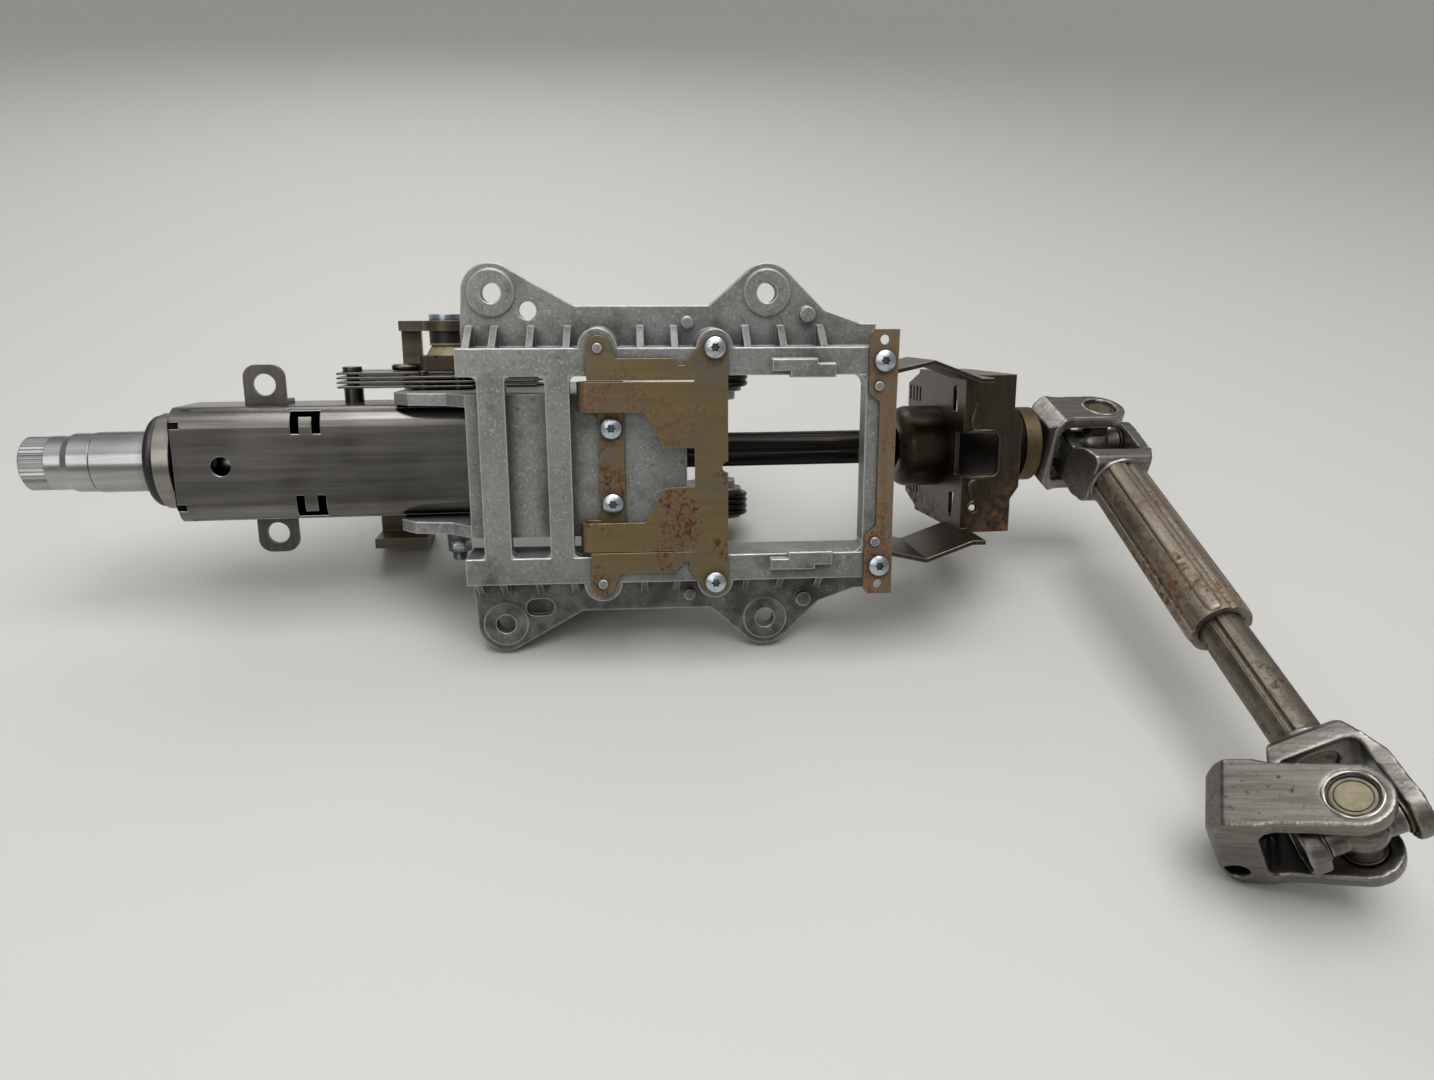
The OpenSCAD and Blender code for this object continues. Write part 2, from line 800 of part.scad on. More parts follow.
// Height of lamella number i in the stack, starting with a reach lamella
function lamella_z(i) = stack_z + i * lamella_pitch;

module tilt_lamellae() {
    back = clamp_y + (-clamp_x) * sin(tilt_down) + slot_w / 2 + 3;
    color("slategray") on_axis() for (i = [1:2:stack_n - 1]) {
        translate([0, 0, lamella_z(i)]) difference() {
            translate([clamp_x - tilt_plate_w / 2, anchor_y - 6, 0]) {
                cube([tilt_plate_w, back - anchor_y + 6, lamella_t]);
            }
            tilt_slot(4 * lamella_t);
            anchor_places() cylinder(h = 4 * lamella_t, d = post_d - 1 + 2 * seat, center = true);
        }
    }
}

module lamella_anchor_pins() {
    color("gray") on_axis() anchor_places() {
        translate([0, 0, cheek_in + 1]) cylinder(h = stack_top - cheek_in, d = post_d - 1);
    }
}

module reach_outline() {
    difference() {
        translate([lamella_start, lamella_front]) {
            square([lamella_end - lamella_start - 6, lamella_back - lamella_front]);
            translate([0, 10]) square([lamella_end - lamella_start, lamella_back - lamella_front - 20]);
        }
        translate([0, clamp_y]) slot_x(reach_slot_left, reach_slot_right, reach_slot_w);
        translate([post_x, post_y]) circle(d = post_d + 2 * seat);
    }
}

module reach_lamellae() {
    color("darkgray") on_axis() for (i = [0:2:stack_n - 1]) {
        translate([0, 0, lamella_z(i)]) linear_extrude(height = lamella_t) reach_outline();
    }
}

module lamella_post() {
    color("gray") on_axis() translate([post_x, post_y, 0]) {
        translate([0, 0, jacket_w / 2]) cylinder(h = stack_z - jacket_w / 2, d = post_d + 3);
        translate([0, 0, jacket_w / 2]) cylinder(h = stack_top - jacket_w / 2 + 1, d = post_d);
        translate([0, 0, stack_top]) cylinder(h = 2.5, d = post_d + 3);
    }
}

module clamp_bolt() {
    color("lightgray") on_axis() translate([clamp_x, clamp_y, 0]) {
        translate([0, 0, -bolt_low]) cylinder(h = bolt_low + lever_top + 1, d = clamp_d);
        translate([0, 0, lever_top + 0.1]) cylinder(h = clamp_head_h, d = 2.2 * clamp_d);
    }
}

module clamp_nut() {
    color("lightsteelblue") on_axis() translate([clamp_x, clamp_y, -thrust_low - nut_h]) difference() {
        cylinder(h = nut_h, d = nut_w / cos(30), $fn = 6);
        translate([0, 0, -1]) cylinder(h = nut_h + 2, d = clamp_d + 2 * seat);
    }
}

module thrust_plate() {
    color("slategray") on_axis() translate([clamp_x, clamp_y, -thrust_low]) difference() {
        linear_extrude(height = thrust_t) round_rect(thrust_w, thrust_w / 2, thrust_w / 6);
        translate([0, 0, -1]) cylinder(h = thrust_t + 2, d = clamp_d + 2 * seat);
    }
}

// Cam disc with three ramps that lift against the other disc
module fixed_cam() {
    color("peru") on_axis() translate([clamp_x, clamp_y, cam_top - cam_t]) difference() {
        union() {
            linear_extrude(height = cam_t) round_rect(cam_w, cam_w - 4, 4);
            translate([0, 0, cam_t - eps]) cylinder(h = eps, d = cam_w - 6);
        }
        translate([0, 0, -1]) cylinder(h = cam_t + 2, d = clamp_d + 2 * run);
        for (i = [0:2]) {
            rotate(i * 120) translate([9, 0, cam_t]) rotate([0, 90, 0]) cylinder(h = 8, r = 2, center = true);
        }
    }
}

module lever_cam() {
    color("darkgoldenrod") on_axis() translate([clamp_x, clamp_y, cam_top + 0.1]) difference() {
        union() {
            cylinder(h = 5, r1 = cam_w / 2 - 3, r2 = cam_w / 2 - 6);
            translate([0, 0, 5]) cylinder(h = cam_t, r = cam_w / 2 - 5);
        }
        translate([0, 0, -1]) cylinder(h = cam_t + 7, d = clamp_d + 2 * run);
    }
}

// Lever plate over the cam, with its handle bent down behind the jacket
module clamp_lever() {
    eye = 12;
    color("tan") on_axis() translate([clamp_x, clamp_y, 0]) difference() {
        union() {
            translate([0, 0, hub_top]) linear_extrude(height = lever_t) {
                circle(eye);
                polygon([
                    [2, eye], [web_right, web_y + lever_t], [neck_left, web_y + lever_t],
                    [neck_left, web_y - 8], [-eye, -2], [0, -eye]]);
            }
            slab(web_y, web_y + lever_t) polygon([
                [web_left, -foot_z], [web_right, -foot_z], [web_right, hub_top + lever_t / 2],
                [neck_left, hub_top + lever_t / 2], [neck_left, 10], [web_left, -8]]);
            translate([web_left, web_y - foot_len, -foot_z]) {
                cube([web_right - web_left, foot_len + eps, lever_t]);
            }
        }
        translate([0, 0, hub_top - 1]) cylinder(h = lever_t + 2, d = clamp_d + 2 * run);
    }
}

// Jacket

module jacket_section(grow) {
    round_rect(jacket_d + 2 * grow, jacket_w + 2 * grow, jacket_r + grow);
}

// Slots on both sides of a bent tongue in a jacket corner
module tongue_slots() {
    tongue_w = 5.5;
    slot_len = 13;
    translate([jacket_start + 51, -jacket_d, jacket_w / 2 - 12]) difference() {
        cube([slot_len, jacket_d / 2 + jacket_t + 9, 10]);
        translate([(slot_len - tongue_w) / 2, -1, -1]) cube([tongue_w, jacket_d + 2, 8.5]);
    }
}

module jacket_tube() {
    color("gray") on_axis() difference() {
        bar(jacket_start, jacket_start + jacket_len) difference() {
            jacket_section(0);
            jacket_section(-jacket_t);
        }
        translate([jacket_start + 20, 0, 0]) rotate([90, 0, 0]) cylinder(h = jacket_d, d = 8.8);
        both() tongue_slots();
        // Notches in the wheel end corners
        both() translate([jacket_start - 1, -jacket_d / 2 - 1, jacket_w / 2 - jacket_r]) cube([5, 6, 3]);
        translate([post_x, post_y, jacket_w / 2 - jacket_t - 1]) cylinder(h = jacket_t + 2, d = 3);
    }
}

module mounting_ears() {
    ear_x = jacket_start + ear_place;
    ear_top = ear_hole_z + ear_w / 2;
    ear_r = ear_w / 3;
    color("gray") on_axis() both() translate([ear_x, -4, 0]) {
        difference() {
            translate([0, ear_t, 0]) rotate([90, 0, 0]) linear_extrude(height = ear_t) {
                translate([-ear_w / 2, jacket_w / 2]) square([ear_w, ear_top - ear_r - jacket_w / 2]);
                translate([ear_r - ear_w / 2, jacket_w / 2]) {
                    square([ear_w - 2 * ear_r, ear_top - jacket_w / 2]);
                }
                for (s = [-1, 1]) {
                    translate([s * (ear_w / 2 - ear_r), ear_top - ear_r]) circle(ear_r);
                }
            }
            translate([0, 0, ear_hole_z]) rotate([90, 0, 0]) {
                cylinder(h = 6 * ear_t, d = ear_hole_d, center = true);
            }
        }
        translate([-ear_w / 2, 0, jacket_w / 2]) cube([ear_w, 14, ear_t]);
    }
}

module bearing_carrier() {
    color("lightgray") on_axis() difference() {
        union() {
            rod(seal_x, jacket_start - 2, collar_d);
            bar(jacket_start - 2 - eps, jacket_start + eps) jacket_section(-jacket_t - 2);
            bar(jacket_start, jacket_start + carrier_len) jacket_section(-jacket_t - seat);
        }
        rod(seal_x - 1, jacket_start + carrier_len + 1, shaft_d + 8);
        rod(bearing_1_x, jacket_start + carrier_len + 1, bearing_od + 2 * seat);
        rod(seal_x - 1, seal_x + 2, shaft_d + 11);
    }
}

// Places of the two column bearings
module bearing_places() {
    for (x = [bearing_1_x, bearing_2_x]) {
        translate([x, 0, 0]) rotate([90, 0, 90]) children();
    }
}

// Grooved ball race between two radii
module race(r_in, r_out) {
    rotate_extrude() difference() {
        translate([r_in, 0]) square([r_out - r_in, bearing_w]);
        translate([race_r, bearing_w / 2]) circle(d = ball_d + 2 * run);
    }
}

module bearing_outer_rings() {
    color("silver") on_axis() {
        bearing_places() race(bearing_od / 2 - race_t, bearing_od / 2);
        // Square carrier that seats the inner bearing in the jacket
        bar(bearing_2_x, bearing_2_x + bearing_w) difference() {
            jacket_section(-jacket_t - seat);
            circle(d = bearing_od + 2 * seat);
        }
    }
}

module bearing_inner_rings() {
    color("silver") on_axis() bearing_places() race(shaft_d / 2 + seat, shaft_d / 2 + race_t);
}

module bearing_balls() {
    color("white") on_axis() bearing_places() for (i = [0:ball_n - 1]) {
        rotate(i * 360 / ball_n) translate([race_r, 0, bearing_w / 2]) sphere(d = ball_d, $fn = 24);
    }
}

// Steering shaft

module spline_outline() {
    polygon([for (i = [0:2 * spline_n - 1])
        (spline_d / 2 - 0.2 - (i % 2) * tooth_h) * [cos(i * 180 / spline_n), sin(i * 180 / spline_n)]]);
}

module steering_shaft() {
    spline_end = shaft_start + spline_len;
    color("whitesmoke") on_axis() difference() {
        union() {
            cone(shaft_start, shaft_start + 1 + eps, spline_d - 3.5, spline_d - 2 * tooth_h - 0.8);
            bar(shaft_start + 1, spline_end) spline_outline();
            rod(spline_end, spline_end + 7, spline_d);
            cone(spline_end + 7, spline_end + 10, spline_d, shaft_d - 0.8);
            rod(spline_end + 10, spline_end + 19, shaft_d - 0.8);
            rod(spline_end + 19, spline_end + 19.6, shaft_d - 1.6);
            rod(spline_end + 19.6, shaft_end, shaft_d);
        }
        rod(shaft_start - 1, shaft_start + bolt_hole_h, bolt_hole_d);
        bar(lower_start - reach_in - 15, shaft_end + 1) {
            fluted(lower_d + 2 * slide, flute_n, flute_r - slide, flute_place);
        }
    }
}

module shaft_seal() {
    color("black") on_axis() difference() {
        union() {
            rod(seal_x - 3, seal_x - 0.6, shaft_d + 9);
            rod(seal_x - 1, seal_x + 1.6, shaft_d + 5);
        }
        rod(seal_x - 4, seal_x + 3, shaft_d + 2 * seat);
    }
}

// Lower shaft and its bearing

module lower_shaft() {
    seat_half = ball_joint_d / 2 + 4;
    neck_end = joint_x - crotch - 0.5;
    color("black") on_axis() difference() {
        union() {
            bar(lower_start, joint_x - crotch - yoke_base - 2) fluted(lower_d, flute_n, flute_r, flute_place);
            rod(joint_x - crotch - yoke_base - 3, neck_end, seat_d);
        }
        translate([-seat_half, 0, 0]) rotate([0, 90, 0]) difference() {
            cylinder(h = 2 * seat_half + reach_in, d = lower_d + 2);
            translate([0, 0, -1]) cylinder(h = 2 * seat_half + reach_in + 2, d = seat_d);
        }
    }
}

module pivot_ball() {
    half = socket_half - 1;
    color("silver") on_axis() difference() {
        intersection() {
            sphere(d = ball_joint_d);
            rod(-half, half, 2 * ball_joint_d);
        }
        rod(-half - 1, half + 1, seat_d + 2 * run);
    }
}

module pivot_socket() {
    color("dimgray") on_axis() difference() {
        rod(-socket_half, socket_half, socket_d);
        sphere(d = ball_joint_d + 4 * run);
    }
}

// Pressed dome that holds the socket on the bearing plate
module bearing_dome() {
    round = (dome_d - dome_open_d) / 2;
    deep = pan_x + 11;
    color("dimgray") on_axis() translate([pan_x, 0, 0]) rotate([0, -90, 0]) rotate_extrude() difference() {
        union() {
            square([dome_d / 2, deep - round]);
            square([dome_open_d / 2, deep]);
            intersection() {
                translate([dome_open_d / 2, deep - round]) circle(round);
                square([dome_d, deep]);
            }
        }
        translate([-eps, -1]) square([socket_d / 2 + seat, pan_x + socket_half + 1]);
        translate([-eps, -2]) square([dome_open_d / 2 - dome_t, 2 * deep]);
    }
}

module guide_tube() {
    color("khaki") on_axis() difference() {
        union() {
            rod(pan_x + pan_t, tube_end - 8, tube_id + 4);
            rod(tube_end - 8 - eps, tube_end, tube_od);
        }
        rod(pan_x, tube_end + 1, tube_id);
    }
}

// Pivot bracket

// Folded sheet arm from the end strip to the upper edge of the bearing plate
module fold_arm() {
    start_z = strip_screw_z - 6;
    end_x = pivot_x + pan_x;
    end_z = pan_half_z - pan_t;
    slab(-face_y, fold_back) polygon([
        [arm_start_x, start_z], [arm_kink_x, arm_kink_z - pan_t], [end_x, end_z],
        [end_x + 6, end_z], [end_x + 6, end_z + pan_t], [end_x, end_z + pan_t],
        [arm_kink_x, arm_kink_z], [arm_start_x, start_z + pan_t]]);
}

// Bearing plate with slots near its rear corners and windows beside the dome
module bearing_plate() {
    bar(pan_x, pan_x + pan_t) difference() {
        polygon([
            [-pan_half_y, -pan_half_z], [-pan_half_y, pan_half_z], [pan_half_y - 22, pan_half_z],
            [pan_half_y, pan_half_z - 8], [pan_half_y, pan_half_z - 20], [pan_half_y - 14, 0],
            [pan_half_y, 20 - pan_half_z], [pan_half_y, 8 - pan_half_z], [pan_half_y - 22, -pan_half_z]]);
        circle(d = tube_id);
        both_2d() {
            for (i = [0:3]) {
                translate([pan_half_y - 5 - 5 * i, pan_half_z - 17]) square([2.2, 8]);
            }
            translate([-pan_half_y + 10, pan_half_z - 18]) polygon([[0, 0], [6, 0], [6, 11], [2, 13]]);
        }
    }
}

// Front wall, with the window that runs round the fold into the bearing plate
module pan_sheet() {
    window_x = 18;
    window_y = 10;
    window_z = 10.5;
    difference() {
        union() {
            bearing_plate();
            slab(-pan_half_y, pan_t - pan_half_y) difference() {
                polygon([
                    [pan_x, -pan_half_z], [pan_x + pan_len, -pan_half_z], [pan_x + pan_len, -22],
                    [pan_x + pan_len + 4, -16], [pan_x + pan_len + 4, 16], [pan_x + pan_len, 22],
                    [pan_x + pan_len, pan_half_z], [pan_x, pan_half_z]]);
                translate([pan_x + 6, -26]) circle(d = 4);
            }
            both() translate([pan_x, -pan_half_y, pan_half_z - pan_t]) cube([pan_len, 1.6 * pan_half_y, pan_t]);
        }
        slab(-pan_half_y - 1, window_y - pan_half_y) translate([pan_x, 0]) {
            round_rect(2 * window_x, 2 * window_z, 4);
        }
    }
}

module pivot_bracket() {
    color("dimgray") union() {
        on_axis() pan_sheet();
        lie() both() fold_arm();
    }
}

// Universal joints

// Forged fork with its ears along z and its base towards -x; the ears draw in to the hub over the taper
module fork(eye, depth, base, hub, taper) {
    tail = depth + base;
    base_half = hub[0];
    difference() {
        intersection() {
            rotate([90, 0, 0]) linear_extrude(height = 4 * eye, center = true) difference() {
                polygon([
                    [-tail, -hub[1]], [-tail + taper, -ear_out], [eye, -ear_out],
                    [eye, ear_out], [-tail + taper, ear_out], [-tail, hub[1]]]);
                translate([-depth + crotch_r, -ear_in]) square([depth + 2 * eye, 2 * ear_in]);
                translate([-depth, crotch_r - ear_in]) square([2 * eye, 2 * (ear_in - crotch_r)]);
                both_2d() translate([crotch_r - depth, ear_in - crotch_r]) circle(crotch_r);
            }
            linear_extrude(height = 4 * ear_out, center = true) {
                circle(eye);
                polygon([
                    [0, eye], [-depth + 6, eye], [-depth, base_half], [-tail + 3, base_half],
                    [-tail, base_half - 3], [-tail, 3 - base_half], [-tail + 3, -base_half],
                    [-depth, -base_half], [-depth + 6, -eye], [0, -eye]]);
            }
        }
        cylinder(h = 4 * ear_out, d = cup_d + 2 * seat, center = true);
        both() translate([0, 0, ear_out - 0.8]) cylinder(h = 2, d = cup_d + 3);
    }
}

// Pair of needle bearing cups in the ears of a fork
module cups() {
    both() translate([0, 0, cup_in]) difference() {
        cylinder(h = cup_top - cup_in, d = cup_d);
        translate([0, 0, -1]) cylinder(h = cup_top - cup_floor - cup_in + 1, d = journal_d + 2 * run);
        translate([0, 0, cup_top - cup_in - 0.4]) difference() {
            cylinder(h = 1, d = 0.82 * cup_d);
            translate([0, 0, -1]) cylinder(h = 3, d = 0.76 * cup_d);
        }
    }
}

// Cross with two pairs of journals, along z and y
module cross_piece() {
    reach = cup_top - cup_floor - slide;
    sphere(r = 0.95 * journal_d);
    for (turn = [0, 90]) {
        rotate([turn, 0, 0]) {
            cylinder(h = 2 * reach, d = journal_d, center = true);
            cylinder(h = 2 * (cup_in - 2 * slide), d = journal_d + 3.4, center = true);
        }
    }
}

module upper_yoke() {
    color("dimgray") at_upper_joint() difference() {
        fork(wide_eye, crotch, yoke_base, upper_hub, blunt_taper);
        rod(-crotch - yoke_base - 1, -crotch + 1, seat_d + 2 * seat);
    }
}

module upper_yoke_cups() {
    color("khaki") at_upper_joint() cups();
}

module upper_cross() {
    color("gray") at_upper_cross() cross_piece();
}

module tube_yoke() {
    color("dimgray") along_shaft() rotate([90, 0, 180]) difference() {
        fork(slim_eye, crotch, shaft_yoke_base, tube_hub, long_taper);
        rod(-crotch - shaft_yoke_base - 1, -crotch + 1, inner_d + 1);
    }
}

module tube_yoke_cups() {
    color("khaki") along_shaft() rotate([90, 0, 0]) cups();
}

module outer_tube() {
    start = crotch + shaft_yoke_base;
    color("tan") along_shaft() {
        bar(start, outer_end) difference() {
            fluted(outer_d, 4, 1.8, outer_d / 2 + 0.8);
            rotate(45) fluted(inner_d + 2 * slide, 4, key_r, groove_place);
        }
        // Spigot pressed into the yoke
        bar(crotch + 1, start + eps) difference() {
            circle(d = inner_d + 1 - 2 * seat);
            circle(d = inner_d - 5);
        }
    }
}

module inner_shaft() {
    color("tan") along_shaft() {
        bar(inner_start, shaft_len - crotch - shaft_yoke_base) {
            rotate(45) fluted(inner_d, 4, key_r + slide, groove_place);
        }
        rod(shaft_len - crotch - shaft_yoke_base - eps, shaft_len - crotch - 1, inner_d - 3);
    }
}

module inner_yoke() {
    color("dimgray") at_lower_joint() rotate([90, 0, 0]) difference() {
        fork(slim_eye, crotch, shaft_yoke_base, inner_hub, long_taper);
        rod(-crotch - shaft_yoke_base - 1, -crotch + 1, inner_d - 3 + 2 * seat);
    }
}

module inner_yoke_cups() {
    color("khaki") at_lower_joint() rotate([90, 0, 0]) cups();
}

module lower_cross() {
    color("gray") at_lower_cross() cross_piece();
}

module clamp_yoke() {
    pinch_x = (clamp_crotch + clamp_yoke_len) / 2 + 2;
    pinch_z = -pinion_d / 2 - 3.5;
    color("gray") at_clamp_yoke() difference() {
        rotate([0, 0, 180]) fork(wide_eye, clamp_crotch, clamp_yoke_len - clamp_crotch, clamp_hub, blunt_taper);
        rod(clamp_crotch - 1, clamp_yoke_len + 1, pinion_d);
        translate([pinch_x, 0, pinch_z]) rotate([90, 0, 0]) cylinder(h = 60, d = pinch_d, center = true);
        translate([clamp_crotch - 1, -1.2, -ear_out - 1]) cube([clamp_yoke_len, 2.4, ear_out + 1]);
    }
}

module clamp_yoke_cups() {
    color("khaki") at_clamp_yoke() cups();
}

mounting_bracket();
crash_plate();
plate_rivets();
plate_screws();
end_strip();
crash_carriage();
balance_springs();
tilt_lamellae();
lamella_anchor_pins();
pivot_bracket();
bearing_dome();
pivot_socket();
guide_tube();
clamp_bolt();
clamp_nut();
thrust_plate();
fixed_cam();
pivot_ball();
lever_cam();
clamp_lever();
jacket_tube();
mounting_ears();
bearing_carrier();
bearing_outer_rings();
bearing_balls();
reach_lamellae();
lamella_post();
steering_shaft();
shaft_seal();
bearing_inner_rings();
lower_shaft();
upper_yoke();
upper_yoke_cups();
upper_cross();
tube_yoke();
tube_yoke_cups();
outer_tube();
inner_shaft();
inner_yoke();
inner_yoke_cups();
lower_cross();
clamp_yoke();
clamp_yoke_cups();
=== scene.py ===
import json
import bmesh
import bpy
import numpy as np
from mathutils import Matrix


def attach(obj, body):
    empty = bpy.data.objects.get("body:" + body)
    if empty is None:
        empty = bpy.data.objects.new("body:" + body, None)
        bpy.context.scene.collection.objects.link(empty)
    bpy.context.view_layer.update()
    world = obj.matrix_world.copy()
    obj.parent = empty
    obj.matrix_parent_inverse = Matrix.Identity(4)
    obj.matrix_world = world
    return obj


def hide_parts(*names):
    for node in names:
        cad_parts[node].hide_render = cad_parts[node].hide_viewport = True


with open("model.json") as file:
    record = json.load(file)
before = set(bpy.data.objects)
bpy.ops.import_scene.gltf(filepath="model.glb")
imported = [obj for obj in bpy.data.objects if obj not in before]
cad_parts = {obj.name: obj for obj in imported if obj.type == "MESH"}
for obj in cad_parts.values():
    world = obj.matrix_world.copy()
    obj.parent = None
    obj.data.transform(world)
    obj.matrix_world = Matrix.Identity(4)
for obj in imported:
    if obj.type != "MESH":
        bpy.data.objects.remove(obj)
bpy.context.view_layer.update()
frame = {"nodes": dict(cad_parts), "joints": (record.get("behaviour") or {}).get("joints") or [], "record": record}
nodes = frame["nodes"]
joints = {j["name"]: j for j in frame["joints"]}
mounts = {m["name"]: m for m in frame["record"]["mounts"]}
scene = bpy.context.scene
scene.view_settings.view_transform = "Standard"
mm = 0.001
print("stage: frame loaded,", len(nodes), "nodes")

# Camera as the photo was taken: close, a little above the bench, wide lens
view = {"place": (0.00278, -0.35952, 0.31175), "turn": (56.189, -1.564, -4.392),
        "sensor": 36, "focalPixels": 1000, "widthPixels": 1434, "near": 0.01}
camData = bpy.data.cameras.new("benchCamera")
camData.sensor_width = view["sensor"]
camData.sensor_fit = "HORIZONTAL"
camData.lens = view["sensor"] * view["focalPixels"] / view["widthPixels"]
camData.clip_start = view["near"]
camera = bpy.data.objects.new("benchCamera", camData)
camera.location = view["place"]
camera.rotation_euler = np.radians(view["turn"])
scene.collection.objects.link(camera)
scene.camera = camera


# sRGB hex to linear RGBA
def colour(hexText):
    s = np.array([int(hexText[i:i + 2], 16) for i in (0, 2, 4)]) / 255
    return (*np.where(s <= 0.04045, s / 12.92, ((s + 0.055) / 1.055) ** 2.4), 1.0)


# Adds one node: settings are its properties, values its sockets, a socket as value is linked
def put(tree, kind, settings=None, values=None):
    n = tree.nodes.new("ShaderNode" + kind)
    for key, val in (settings or {}).items():
        setattr(n, key, val)
    for key, val in (values or {}).items():
        if isinstance(val, bpy.types.NodeSocket):
            tree.links.new(val, n.inputs[key])
        else:
            n.inputs[key].default_value = val
    return n


# New material with its tree, shader and object coordinates
def newMaterial(name, metallic, roughness):
    mat = bpy.data.materials.new(name)
    mat.use_nodes = True
    tree = mat.node_tree
    tree.nodes.clear()
    out = put(tree, "OutputMaterial")
    skin = put(tree, "BsdfPrincipled", None, {"Metallic": metallic, "Roughness": roughness})
    tree.links.new(skin.outputs[0], out.inputs[0])
    at = put(tree, "TexCoord").outputs["Object"]
    return mat, tree, skin, at


# Scale that makes one blotch of a noise pattern this many millimetres across
def perMm(size):
    return 1 / (size * mm)


# Noise of a given blotch size, squeezed between two levels to a mask of 0 to most
def blotch(tree, at, size, low, high, detail=4.0, most=1.0, stretch=None):
    if stretch:
        at = put(tree, "Mapping", {"vector_type": "TEXTURE"}, {"Vector": at, **stretch}).outputs[0]
    pattern = {"Vector": at, "Scale": perMm(size), "Detail": detail, "Roughness": 0.6}
    n = put(tree, "TexNoise", None, pattern)
    span = {"Value": n.outputs[0], "From Min": low, "From Max": high, "To Max": most}
    return put(tree, "MapRange", None, span).outputs[0]


# Coats of colour on a first tone: each one, hex text or a socket, covers those below it where its mask is 1
def coated(tree, first, coats):
    below = colour(first)
    for tone, mask in coats:
        top = colour(tone) if isinstance(tone, str) else tone
        below = put(tree, "Mix", {"data_type": "RGBA"}, {0: mask, 6: below, 7: top}).outputs[2]
    return below


# Mask that is 1 along sharp edges: how far the rounded normal leans from the face normal
def edgeMask(tree, radius, low, high):
    soft = put(tree, "Bevel", {"samples": 4}, {"Radius": radius * mm}).outputs[0]
    flat = put(tree, "NewGeometry").outputs["Normal"]
    dot = put(tree, "VectorMath", {"operation": "DOT_PRODUCT"}, {0: soft, 1: flat}).outputs["Value"]
    return put(tree, "MapRange", None, {"Value": dot, "From Min": high, "From Max": low}).outputs[0]


# Painted shade: a mask that nears its strength in corners and pockets that light hardly reaches, where the colour
# is darkened
def paintedShadeMask(tree, reach, strength):
    lit = put(tree, "AmbientOcclusion", {"samples": 4}, {"Distance": reach * mm}).outputs["AO"]
    span = {"Value": lit, "From Min": 0.35, "From Max": 0.95, "To Min": strength, "To Max": 0.0}
    return put(tree, "MapRange", None, span).outputs[0]


# Grain bump over rounded edges; grains are about 1 mm across, coarser than real ones, so that they show
def grain(tree, at, skin, size, strength, depth, rounding=0.0):
    n = put(tree, "TexNoise", None, {"Vector": at, "Scale": perMm(size), "Detail": 3.0})
    bump = put(tree, "Bump", None, {"Strength": strength, "Distance": depth * mm, "Height": n.outputs[0]})
    if rounding:
        soft = put(tree, "Bevel", {"samples": 4}, {"Radius": rounding * mm}).outputs[0]
        tree.links.new(soft, bump.inputs["Normal"])
    tree.links.new(bump.outputs[0], skin.inputs["Normal"])


# Frame with x along one axis and z near another: origin and three unit columns
def axesAt(origin, along, up):
    x = np.array(along) / np.linalg.norm(along)
    z = np.array(up) - np.dot(up, x) * x
    z = z / np.linalg.norm(z)
    return np.array(origin), np.stack([x, np.cross(z, x), z], axis=1)


# Points in a frame, in millimetres, to the shared frame in metres
def placed(at, points):
    return at[0] + (np.atleast_2d(points) * mm) @ at[1].T


# Lowest and highest corners of a node in a frame, in millimetres
def spanOf(node, at):
    mesh = nodes[node].data
    flat = np.empty(3 * len(mesh.vertices))
    mesh.vertices.foreach_get("co", flat)
    local = (flat.reshape(-1, 3) - at[0]) @ at[1] / mm
    return local.min(0), local.max(0)


askew = (0.12, 0.21, 0.97)  # a direction that none of the part's axes has


# Stretch of a pattern along a direction: its x is turned that way and its blotches are made longer
def drawnOut(direction, ratio):
    turn = Matrix(axesAt((0, 0, 0), direction, askew)[1]).to_euler()
    return {"Rotation": turn, "Scale": (ratio, 1.0, 1.0)}


# Die-cast alloy: grey satin skin with bright grains, stained patches, painted shade low down and in corners,
# bright edges that are partly rubbed wear and partly a painted highlight, and an orange-peel surface
def castAlloy(name, pale, stain, grains, edges):
    mat, tree, skin, at = newMaterial(name, metallic=0.55, roughness=0.45)
    broad = blotch(tree, at, size=26, low=0.40, high=0.70, detail=6.0)
    # Painted shade low down: darker towards the bottom, broken into patches by noise
    height = put(tree, "SeparateXYZ", None, {0: at}).outputs["Z"]
    low = put(tree, "MapRange", None, {"Value": height, "From Min": 0.018, "From Max": 0.062,
                                       "To Min": 1.0, "To Max": 0.0}).outputs[0]
    lowShadePatches = blotch(tree, at, size=9, low=0.25, high=0.60, detail=5.0, most=0.85)
    paintedLowShade = put(tree, "Math", {"operation": "MULTIPLY"}, {0: low, 1: lowShadePatches}).outputs[0]
    base = coated(tree, pale, [
        (stain, broad),
        (grains, blotch(tree, at, size=1.1, low=0.52, high=0.80, detail=3.0, most=0.8)),
        ("4b4842", blotch(tree, at, size=3.4, low=0.60, high=0.74, detail=5.0, most=0.8)),
        ("4f4d47", blotch(tree, at, size=17, low=0.54, high=0.72, detail=7.0, most=0.75)),
        ("38352f", paintedLowShade),
        # Bright edges: partly rubbed wear, partly a painted highlight
        (edges, edgeMask(tree, radius=1.2, low=0.78, high=0.975)),
        # Painted shade in corners and pockets
        ("24221e", paintedShadeMask(tree, reach=8, strength=0.72))])
    tree.links.new(base, skin.inputs["Base Color"])
    rough = put(tree, "MapRange", None, {"Value": broad, "To Min": 0.34, "To Max": 0.58}).outputs[0]
    tree.links.new(rough, skin.inputs["Roughness"])
    grain(tree, at, skin, size=1.0, strength=0.45, depth=0.16, rounding=1.3)
    return mat


